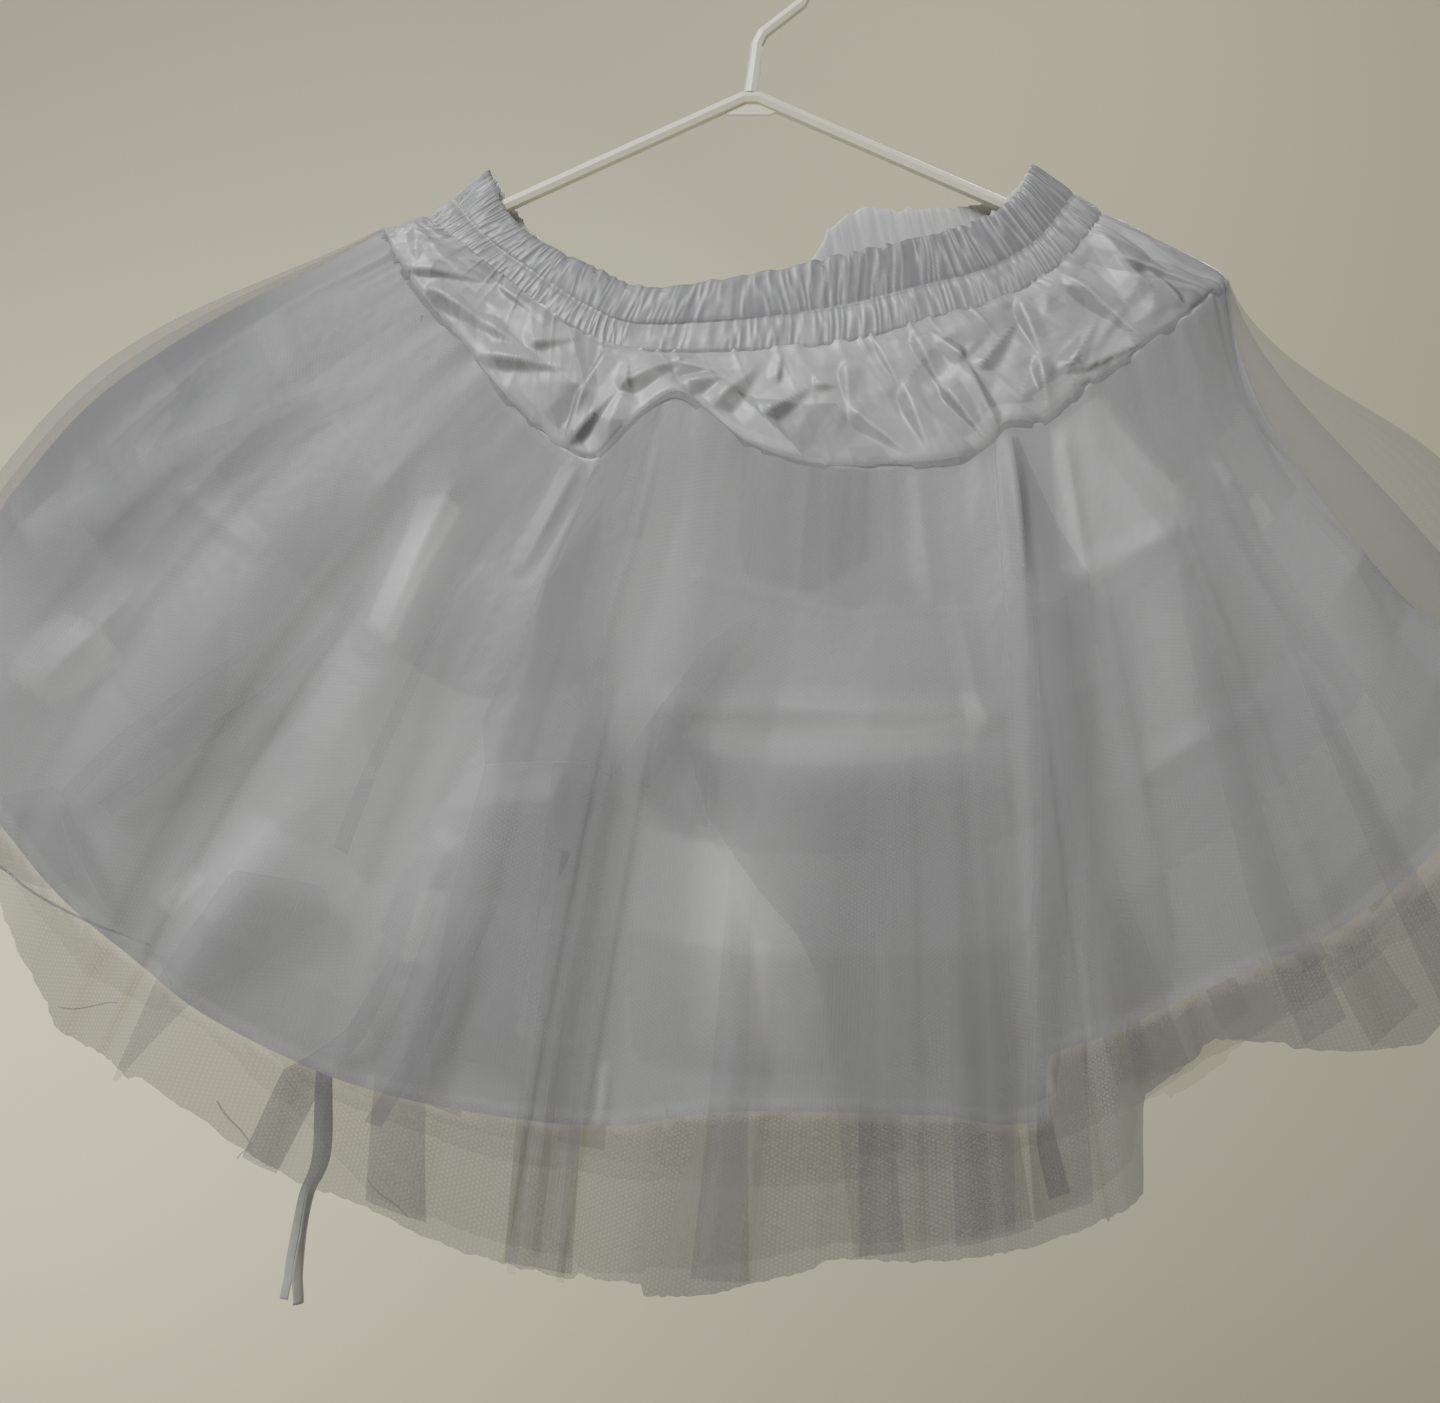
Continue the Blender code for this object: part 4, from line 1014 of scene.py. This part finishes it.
# %% Doubled net and loose threads
# Where the outer net lies double or more on the front: cover, the share over which it fades in at
# its top, then rows as before, in thousandths.
FRONT_TUCKS = (
    (0.9, 0.00, ((656, 294, 298), (682, 274, 303), (699, 260, 301), (806, 254, 285),
                 (872, 250, 272), (1005, 253, 256))),
    (1.4, 0.10, ((680, 333, 338), (800, 324, 333), (880, 308, 322), (1000, 306, 317))),
    (1.1, 0.12, ((600, 345, 362), (840, 342, 366), (985, 354, 379))),
    (1.1, 0.12, ((600, 372, 378), (800, 354, 362), (900, 344, 352))),
    (1.0, 0.00, ((453, 385, 424), (650, 398, 438), (830, 408, 446), (1000, 417, 456))),
    (0.5, 0.10, ((550, 402, 407), (800, 411, 416), (1010, 419, 424))),
    (0.5, 0.10, ((600, 415, 419), (800, 423, 428), (990, 431, 436))),
    (0.5, 0.10, ((620, 432, 436), (800, 438, 443), (1010, 447, 452))),
    (1.0, 0.15, ((500, 515, 530), (800, 523, 545), (990, 526, 554))),
    (0.9, 0.10, ((750, 600, 614), (970, 602, 622))),
    (0.9, 0.15, ((600, 648, 685), (800, 648, 695), (975, 647, 702))),
    (1.5, 0.05, ((800, 712, 716), (880, 708, 718), (950, 712, 722))),
    (0.9, 0.00, ((0, 322, 388), (130, 330, 390), (280, 336, 392), (390, 333, 408),
                 (451, 346, 424))),
    (0.3, 0.00, ((20, 323, 372), (280, 337, 376), (390, 334, 400), (449, 347, 420))),
    (0.8, 0.00, ((452, 346, 424), (620, 352, 398), (800, 362, 400))),
    (1.1, 0.10, ((190, 516, 524), (260, 478, 500), (320, 460, 482), (380, 442, 470),
                 (450, 424, 452))),
    (0.8, 0.00, ((360, 454, 490), (470, 448, 500))),
    (0.65, 0.04, ((365, 470, 705), (470, 503, 703), (580, 561, 700), (630, 575, 698),
                 (800, 590, 695), (970, 600, 690))),
    (0.9, 0.00, ((20, 735, 742), (100, 738, 762), (230, 740, 795), (500, 722, 768),
                 (830, 703, 738), (970, 703, 732))),
    (0.7, 0.00, ((240, 742, 775), (500, 728, 750), (830, 708, 720))),
    (1.0, 0.14, ((200, 274, 279), (380, 285, 291), (470, 288, 294), (604, 293, 299))),
    (0.9, 0.10, ((380, 222, 228), (492, 214, 222), (748, 168, 178))),
    (0.8, 0.10, ((420, 200, 204), (660, 160, 168), (780, 145, 154))),
    (0.9, 0.15, ((100, 120, 140), (400, 70, 100), (530, 60, 82))),
    (1.2, 0.02, ((770, 136, 146), (806, 160, 176), (838, 196, 200))),
    (0.9, 0.00, ((780, 140, 144), (840, 116, 176), (875, 122, 165), (905, 132, 138))),
    (0.9, 0.12, ((550, 772, 782), (700, 775, 795), (855, 778, 802))),
    (0.9, 0.15, ((300, 850, 862), (700, 842, 858), (905, 845, 862))),
    (0.9, 0.15, ((450, 900, 908), (970, 892, 906))),
    (0.8, 0.08, ((800, 862, 880), (955, 866, 886))),
)
# Folded edges and loose threads: ends as (t, across), width, cover.
STRANDS = (
    ((0.905, 0.132), (0.843, 0.236), 1.6 * MM, 2.4),
    ((0.976, 0.197), (0.926, 0.233), 0.7 * MM, 2.4),
    ((0.955, 0.294), (0.982, 0.307), 1.2 * MM, 2.2),
    ((0.982, 0.307), (1.004, 0.305), 1.2 * MM, 2.2),
    ((0.840, 0.240), (0.868, 0.262), 0.7 * MM, 2.0),
    ((0.960, 0.352), (0.985, 0.372), 0.8 * MM, 2.2),
)


def tuck(rows, cover, fade, front=True, steps=60, columns=8):
    """A place where the outer net lies double on its inside, between lines given by (t, left, right).

    It fades in over the given share of the fall at its top, where the doubled net opens out.
    """
    stations, left, right = np.array(rows).T
    down = np.linspace(stations[0], stations[-1], steps)[:, None]
    left, right = np.interp(down, stations, left), np.interp(down, stations, right)
    share = np.linspace(0, 1, columns)[None, :]
    phi = phi_of(left + (right - left) * share, front)
    points = lifted(SEAM + down, phi, net_lift("outer_net", phi, down) - 0.5 * MM)
    wide = np.linalg.norm(points[:, -1:] - points[:, :1], axis=2)
    shown = cover * (ease((down - stations[0]) / fade) if fade else 1)
    # Free also darkens the doubled net towards the painted shade of free net.
    free = 0.4 * clear_of_satin(phi, down)
    return points, share * wide + stations[0], down * SKIRT_FALL + 0 * share, shown * (1 + free), free


def back_tucks():
    """The returns of the crisp pleats on the back."""
    return [tuck(((begins + 0.1, seam, seam + half * 0.6), (0.95, hem, hem + half * 0.8)), 0.8, 0.1, False)
            for seam, hem, half, _, begins, crisp in each_row(OUTER_BACK) if crisp]


def strand(start, end, width, cover, steps=24):
    """A loose thread or a sharp folded edge that lies on the outer net, between two (t, across) places."""
    share = np.linspace(0, 1, steps)[:, None]
    (t0, across0), (t1, across1) = start, end
    down = t0 + (t1 - t0) * share + 0.002 * np.sin(6 * share)
    phi = phi_of(across0 + (across1 - across0) * share)
    points = lifted(SEAM + down, phi, net_lift("outer_net", phi, down) + 0.4 * MM)
    run = np.gradient(points[:, 0], axis=0)
    aside = np.stack([run[:, 2], 0 * run[:, 0], -run[:, 0]], 1) / np.hypot(run[:, 0], run[:, 2])[:, None]
    pair = points + aside[:, None] * (np.array([-0.5, 0.5]) * width)[None, :, None]
    return pair, share + np.array([[0, width]]), share * 0.1 + np.zeros((1, 2)), cover


doubled = [tuck(np.array(rows) / 1000, cover, fade) for cover, fade, rows in FRONT_TUCKS]
threads = [strand(*row) for row in STRANDS]
outer_grids = [net_layer("outer_net", 64, 0.003, 0.008, 31), *doubled, *threads, *back_tucks()]
outer_net = cloth_piece("outer_tulle", outer_grids, outer_tulle, ["outer_net_front", "outer_net_back"],
                        closed=True)

# %% [markdown]
# ## The yoke
#
# The yoke is satin again, gathered by the waistband above it and by the hip seam below it.  Its
# folds run down from the top, wander, break on the slant and lie over to one side.  They could be
# ridged noise, but noise makes them all alike, so the front's are placed by a table.  Between them
# the satin is crumpled into small flat facets, and both edges end in puckers.

# %% Folds of the yoke
# Folds of the yoke's front, from one end to the other: each stands highest on its line, drops over
# its steep width on the right hand of the way, and falls away slowly on the left.  In millimetres.
YOKE_FOLDS = table(
    "across0 t0    across1 t1    steep slow height",
    (0.083,  0.88, 0.211,  0.47, 7.5,  14,  4.6),
    (0.211,  0.45, 0.299,  0.02, 5.5,  12,  3.6),
    (0.160,  0.96, 0.292,  0.33, 7.0,  9,   4.4),
    (0.054,  0.99, 0.146,  0.12, 4.0,  10,  3.0),
    (0.146,  0.12, 0.247,  0.11, 3.0,  8,   2.6),
    (0.351,  0.08, 0.304,  0.43, 3.5,  9,   4.4),
    (0.304,  0.43, 0.277,  0.95, 3.5,  9,   3.6),
    (0.364,  0.65, 0.375,  0.20, 3.0,  6,   2.6),
    (0.280,  0.93, 0.354,  0.56, 6.0,  10,  4.6),
    (0.354,  0.56, 0.448,  0.04, 7.0,  12,  5.0),
    (0.425,  0.20, 0.480,  0.22, 7.0,  8,   3.6),
    (0.413,  0.77, 0.491,  0.26, 8.0,  6,   4.4),
    (0.450,  0.80, 0.523,  0.12, 11.0, 9,   5.2),
    (0.533,  0.30, 0.552,  0.01, 3.0,  6,   3.2),
    (0.508,  0.62, 0.573,  0.31, 9.0,  10,  4.8),
    (0.573,  0.31, 0.600,  0.33, 5.0,  7,   3.0),
    (0.616,  0.15, 0.601,  0.54, 5.0,  12,  3.6),
    (0.601,  0.50, 0.638,  0.92, 8.0,  12,  4.4),
    (0.663,  0.03, 0.661,  0.42, 3.0,  7,   3.0),
    (0.668,  0.36, 0.655,  0.94, 7.0,  9,   4.0),
    (0.711,  0.05, 0.703,  0.52, 5.0,  9,   4.4),
    (0.703,  0.46, 0.710,  1.00, 5.0,  9,   4.4),
    (0.722,  0.98, 0.741,  0.37, 6.0,  6,   4.2),
    (0.741,  0.41, 0.729,  0.06, 6.0,  6,   3.8),
    (0.745,  0.50, 0.834,  0.20, 9.0,  7,   4.0),
    (0.860,  0.02, 0.811,  0.63, 6.0,  8,   4.6),
    (0.811,  0.57, 0.774,  1.00, 5.0,  8,   4.4),
    (0.812,  0.82, 0.894,  0.55, 8.0,  8,   4.0),
    (0.918,  0.05, 0.893,  0.98, 8.0,  14,  5.2),
    (0.822,  0.86, 0.895,  0.97, 3.0,  12,  3.6),
    (0.945,  0.92, 0.962,  0.50, 4.0,  8,   3.0),
    (0.962,  0.30, 0.976,  0.98, 5.0,  9,   3.4),
    (0.020,  0.40, 0.060,  0.75, 6.0,  9,   3.0),
)


def laid_folds(rows, flat, place):
    """Sum of folds that lie over: from 1 on the line to -0.35 over the steep width, then back to 0.

    On the other side each comes down to 0 over its slow width.  All of it narrows to both ends.
    The second result is a mask of painted shade, 1 on the steep sides, and of painted highlight, -1 on the
    crests.
    """
    total, shade = np.zeros(flat.shape[:-1]), np.zeros(flat.shape[:-1])
    starts, ends = (place(rows["t" + end], phi_of(rows["across" + end]))[:, ::2] for end in "01")
    for start, end, steep, slow, height in zip(starts, ends, rows["steep"] * MM, rows["slow"] * MM,
                                               rows["height"] * MM):
        run = end - start
        share = ((flat - start) @ run) / (run @ run)
        aside = ((flat - start) @ np.array([run[1], -run[0]])) / np.hypot(*run)
        taper = np.clip(np.minimum(7 * share, 1.5 * (1 - share)), 0, 1)
        scaled = np.where(aside < 0, aside / slow, aside / (steep * (0.3 + 0.7 * taper)))
        total += height * taper * np.interp(scaled, (-1, 0, 1, 1 + 1.2 * slow / steep), (0, 1, -0.35, 0))
        side = ease(taper * 3) * np.interp(scaled, (-0.05, 0.15, 0.9, 1.1), (0, 1, 1, 0))
        crest = ease(taper * 3) * np.exp(-(aside / (1.0 * MM)) ** 2)
        shade = np.where(crest > 0.3, -crest, np.where(shade < -0.3, shade, np.maximum(shade, side)))
    return np.stack([total, shade])


print("folds placed on the yoke's front:", len(YOKE_FOLDS["steep"]))

# %% Yoke
YOKE_FALL = 65 * MM
YOKE_TUCKED = 0.05                     # share of the fall by which it runs up under the waistband


def yoke_grid(columns=1300, rows=44):
    """Points, u, v and tone of the yoke: gathers at its top, crumpled facets, puckers at the seam; the tone
    holds painted sheen, shade and highlights.
    """
    phi = ring_places(columns, "yoke") + np.zeros((rows, 1))
    share = np.linspace(0, 1, rows)[:, None] + 0 * phi
    around, front = phi / (2 * np.pi), on_front(phi)
    edge = (0.03 * patchy(around * 70, 0 * around, 47, 70)
            + 0.022 * patchy(around * 210, 0 * around, 48, 210))
    down = -YOKE_TUCKED + (1 + YOKE_TUCKED) * share + np.minimum(edge, 0.006) * share ** 4
    warp = 0.7 * patchy(around * 18, down * 2, 41, 18)
    near_top = np.exp(-np.clip(down, 0, 1) / 0.25)
    top = creased(around * 190 + warp, down * 1.2, 42, 190) ** 3 * near_top
    large_cells = around * 34 + warp - 0.7 * down, down * 2.3 + 0.8 * warp
    small_cells = around * 88 + 2 * warp, down * 5 + warp
    broad, small = faceted(*large_cells, 43, 34), faceted(*small_cells, 44, 88)
    seam = creased(around * 150, down * 2, 45, 150) ** 2 * np.exp(-np.clip(1 - down, 0, 1) / 0.1)
    belly = np.sin(np.pi * np.clip(down, 0, 1)) ** 0.6
    inside = np.clip(down, 0, 1)
    placed, shade = laid_folds(YOKE_FOLDS, unfolded(LOW + inside, phi)[..., ::2],
                               lambda t, at: unfolded(LOW + t, at)) * front
    hidden = wandering_creases(34, 46, inside, phi, LOW, 0.7, 11 * MM, 5 * MM)
    lift = 1.0 * MM + 1.4 * MM * top + 1.8 * MM * seam * (1 - share ** 20)
    lift = lift + belly * ((4.6 * broad + 2.0 * small + 4.0) * MM + hidden) + belly ** 0.5 * placed
    lift = lift + 0.3 * MM * ease((down - 0.85) / 0.1) - 1.2 * MM * ease((share - 0.96) / 0.04)
    points = lifted(LOW + down, phi, lift)
    # The tone holds a painted sheen for each facet, painted shade on the folds' steep sides and painted
    # highlights on their crests, on a base darker than the lining's.
    tone = 0.13 * shines(*large_cells, 43, 34) + 0.06 * shines(*small_cells, 44, 88)
    tone = 0.29 + tone * np.where(front, 1, 0.5) - 0.11 * shade
    return points, metres_round(points), down * YOKE_FALL, tone


yoke = cloth_piece("satin_yoke", [yoke_grid()], satin, ["yoke_front", "yoke_back"], closed=True)

# %% [markdown]
# ## The waistband
#
# A casing of satin over wide elastic, stitched along its length: a tall row of gathers above the
# stitching and a short one below it.  The profile runs from the inside of the band over its top
# edge and down the outside, and fine uneven gathers ride on it, each a rounded crest between two
# sharp furrows.

# %% Waistband
BAND_PROFILE = table(
    "level  lift  gather",
    (0.98,  -1.2, 0.15),
    (0.50,  -1.3, 0.30),
    (0.04,  -1.2, 0.30),
    (-0.02, -0.7, 0.30),
    (-0.03, 0.2,  0.30),
    (0.02,  0.9,  0.50),
    (0.10,  1.2,  0.80),
    (0.30,  1.4,  0.90),
    (0.50,  1.3,  0.90),
    (0.56,  0.9,  0.60),
    (0.60,  0.9,  0.60),
    (0.66,  1.6,  1.10),
    (0.85,  2.1,  1.40),
    (0.96,  1.9,  0.90),
    (1.02,  0.6,  0.30),
)
BAND_GATHERS = 180                     # round the whole waist
BAND_STITCHED = 0.56                   # level of the stitching, which parts the gathers in two rows


def band_grid(columns=1640, rows=56):
    """Points, u, v and tone of the band: its profile, with sharp uneven gathers, close together; the tone
    holds painted shade and highlights.
    """
    steps = np.arange(len(BAND_PROFILE["level"]), dtype=float)
    at = np.linspace(0, steps[-1], rows)
    level, lift, gather = (np.interp(at, steps, column)[:, None] for column in BAND_PROFILE.values())
    phi = ring_places(columns, "waistband") + np.zeros((rows, 1))
    around, front, lower = phi / (2 * np.pi), on_front(phi), level > BAND_STITCHED
    lean = 0.9 * patchy(around * 30, level * 1.5 + 20 * lower, 51, 30)
    beat = 1 - np.abs(np.sin(np.pi * (BAND_GATHERS * around + 0.9 * lean + 0.3 * lower))) ** 0.6
    uneven = 0.5 + 0.7 * patchy(around * 60, level * 1.2 + 9 * lower, 52, 60)
    thin = creased(around * 400 + 2 * lean, level * 2.0 + 7 * lower, 53, 400) ** 3
    slack = patchy(around * 45, level * 2 + 5 * lower, 55, 45)
    smoother = 1 - 0.6 * ease(1.6 - np.abs(across_of(phi) - 0.28) / 0.08) * front * (1 - lower)
    lift = lift * MM + gather * MM * (0.35 * beat * uneven + 0.6 * thin + 0.6 * slack - 0.3) * smoother
    level = level + 0.025 * patchy(around * 260, 0 * around, 54, 260) * (level < 0.06)
    points = lifted(level + 0 * phi, phi, lift)
    down = np.cumsum(np.concatenate([[0], np.linalg.norm(np.diff(points, axis=0), axis=2).mean(1)]))
    # Painted light and shade in the tone: a dark base as of shade over the whole band, shade in the furrows
    # and highlights on the crests and fine streaks of the gathers, a lighter row under the stitching, and
    # the back painted lighter as if lit through from behind.
    tone = 0.02 + 0.08 * beat * uneven + 0.20 * thin + 0.09 * lower + 0.42 * ~front
    return points, metres_round(points), down[:, None] + 0 * phi, tone


waistband = cloth_piece("satin_waistband", [band_grid()], satin,
                        ["waistband_front", "waistband_back"], closed=True)

# %% [markdown]
# ## The hanging tape
#
# A narrow woven tape hangs inside the skirt and shows under the hems; skirts have such loops to
# hang by, and this one has come loose.  It is a strip folded in half along its length, so it is two
# grids, one for each half, that follow a route.

# %% Tape finish
TAPE_RIBS = 2.4 * MM                   # unit of a wave texture whose straight ribs lie 0.75 mm apart
TAPE_CLOUDS = 50 * MM / 3              # from one darker place of the cotton to the next
tape_cloth, tree, shader = finish_named("woven_cotton_tape", Roughness=0.8, Sheen_Weight=0.3)
cloth = add_node(tree, "ShaderNodeUVMap", uv_map="cloth").outputs["UV"]
tint = add_node(tree, "ShaderNodeTexNoise", {"Vector": cloth, "Scale": 1 / TAPE_CLOUDS})
base = add_node(tree, "ShaderNodeMix", {"Factor": tint.outputs["Fac"], 6: light_of("#9A9992"),
                                        7: light_of("#B1B0A8")}, data_type="RGBA")
tree.links.new(base.outputs[2], shader.inputs["Base Color"])
ribs = add_node(tree, "ShaderNodeTexWave", {"Vector": cloth, "Scale": 1 / TAPE_RIBS},
                bands_direction="Y")
bump = add_node(tree, "ShaderNodeBump", {"Height": ribs.outputs["Fac"], "Strength": 0.4,
                                         "Distance": 0.2 * MM})
tree.links.new(bump.outputs["Normal"], shader.inputs["Normal"])
# A straight wave repeats after 2 pi / 20 units.
print("ribs of the tape drawn", round(TAPE_RIBS * 2 * math.pi / 20 / MM, 2), "mm apart")

# %% Tape
TAPE_ROUTE = table(
    "x     y      z",
    (-204, -20.2, -240),
    (-207, -20,   -262),
    (-216, -18,   -340),
    (-226, -22,   -430),
    (-238, -27,   -530),
    (-252, -30,   -620),
    (-260, -32,   -690),
    (-262, -32,   -745),
    (-271, -33,   -770),
    (-277, -33,   -802),
    (-280, -32,   -832),
)
TAPE_HALF_WIDTH = 4.8 * MM             # of the trough that the folded strip makes
TAPE_STEP = 60 * MM                    # metres of tape from one row of its route to the next


def tape_grid(hand, steps=150, columns=6):
    """Points, u and v of one half of the tape, left (-1) or right (1) of the fold along its middle.

    The two halves stand like a flat trough and part where the cut end frays.
    """
    stations = np.arange(len(TAPE_ROUTE["x"]), dtype=float)
    at = np.linspace(0, stations[-1], steps)
    line = np.stack([smooth(at, stations, TAPE_ROUTE[axis]) for axis in "xyz"], 1) * MM
    turn = 0.25 * np.sin(at * 0.9) + 0.15 * np.sin(at * 3.1)
    width = TAPE_HALF_WIDTH * (1 + 0.12 * np.sin(at * 2.1))
    share = hand * np.linspace(0, 1, columns)
    side = np.stack([np.cos(turn), np.sin(turn), 0 * at], 1)
    front = np.stack([np.sin(turn), -np.cos(turn), 0 * at], 1)
    bulge = (1 - np.abs(share)) ** 0.6 * (3.4 + 0.8 * hand) * MM
    parted = ease((at - stations[-1] + 0.5) / 0.5)
    line = line + side * (hand * 1.6 * MM * parted)[:, None]
    line[:, 2] -= (1 + hand) * 1.5 * MM * parted
    points = line[:, None] + side[:, None] * (width[:, None] * share)[..., None]
    points = points + front[:, None] * bulge[None, :, None]
    along = at[:, None] * TAPE_STEP
    return points, share * TAPE_HALF_WIDTH + 0 * along, along + 0 * share, 1.0


tape = cloth_piece("hanging_tape_loop", [tape_grid(-1), tape_grid(1)], tape_cloth, ["hanging_tape"])
thick = tape.modifiers.new("thickness", "SOLIDIFY")
thick.thickness = 0.7 * MM
thick.offset = 0

# %% [markdown]
# ## The hanger
#
# Moulded polystyrene: off-white, smooth and slightly waxy, with a soft gloss.  Its shape is the
# solid's own, and only the finish is new.

# %% Hanger
PLASTIC_CLOUDS = 40 * MM               # from one yellower place of the plastic to the next
plastic, tree, shader = finish_named("moulded_polystyrene", Roughness=0.32, IOR=1.55)
place = add_node(tree, "ShaderNodeTexCoord").outputs["Object"]
cloudy = add_node(tree, "ShaderNodeTexNoise", {"Vector": place, "Scale": 1 / PLASTIC_CLOUDS,
                                               "Detail": 3.0})
base = add_node(tree, "ShaderNodeMix", {"Factor": cloudy.outputs["Fac"], 6: light_of("#DEDABE"),
                                        7: light_of("#E8E4C9")}, data_type="RGBA")
tree.links.new(base.outputs[2], shader.inputs["Base Color"])
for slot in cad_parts["hanger"].material_slots:
    slot.link = "OBJECT"
    slot.material = plastic
print("hanger finished in", plastic.name)

# %% [markdown]

# %% [markdown]
# ## Studio
#
# A pale floor and a pale wall far behind, and a dim cool sky all round.  A large soft lamp stands
# up on the left, in front, like a window; two warm ones light the wall and one the skirt from behind.

# %% Floor and wall
FLOOR_LEVEL, FLOOR_RADIUS = -1.9, 2.1  # in metres, as all of the room
WALL_AWAY = 3.4


def flat_stage(name, corners, colour):
    """Adds a flat stage piece with one matt colour."""
    mesh = bpy.data.meshes.new(name)
    mesh.from_pydata(corners, [], [tuple(range(len(corners)))])
    made, _, _ = finish_named(name, Base_Color=light_of(colour), Roughness=0.9)
    mesh.materials.append(made)
    stage = bpy.data.objects.new(name, mesh)
    bpy.context.scene.collection.objects.link(stage)


turns = np.linspace(0, 2 * math.pi, 65)[:-1]
flat_stage("pale_floor", [(FLOOR_RADIUS * math.cos(a), FLOOR_RADIUS * math.sin(a), FLOOR_LEVEL)
                          for a in turns], "#CFCBBF")
flat_stage("pale_wall", [(x, WALL_AWAY, z) for x, z in ((-5, -4.5), (5, -4.5), (5, 3.5), (-5, 3.5))],
           "#D9D7BE")
print("stage: a floor", 2 * FLOOR_RADIUS, "m across and a wall", WALL_AWAY, "m away")

# %% Sky and lamps
SKY_STRENGTH = 0.33
world = bpy.data.worlds.new("dim_room")
world.use_nodes = True
sky = world.node_tree.nodes["Background"].inputs
sky["Color"].default_value = light_of("#EAE8E4")
sky["Strength"].default_value = SKY_STRENGTH
bpy.context.scene.world = world


def soft_lamp(name, place, aim, size, power, colour):
    """Adds a square area lamp at a place, turned to an aim."""
    lamp = bpy.data.lights.new(name, "AREA")
    lamp.shape = "SQUARE"
    lamp.size = size
    lamp.energy = power
    lamp.color = light_of(colour)[:3]
    made = bpy.data.objects.new(name, lamp)
    made.location = place
    way = np.array(aim, float) - np.array(place, float)
    made.rotation_euler = (math.acos(-way[2] / np.linalg.norm(way)), 0,
                           math.atan2(way[1], way[0]) - math.pi / 2)
    bpy.context.scene.collection.objects.link(made)


soft_lamp("window", (-1.3, -2.0, 1.5), (0, 0, -0.45), 1.0, 101, "#FBFCFF")
soft_lamp("wall_lamp", (-2.3, 1.2, -1.2), (-1.4, WALL_AWAY, -1.7), 1.2, 54, "#FFFBE4")
soft_lamp("ceiling_lamp", (0.9, 1.8, 1.6), (0.7, WALL_AWAY, 1.0), 1.0, 7, "#FFFBE4")
soft_lamp("back_lamp", (1.3, 2.6, 1.1), (0, 0, -0.45), 1.2, 58, "#FBFCFF")
print("a dim sky, a window lamp, two lamps on the wall and one behind the skirt")
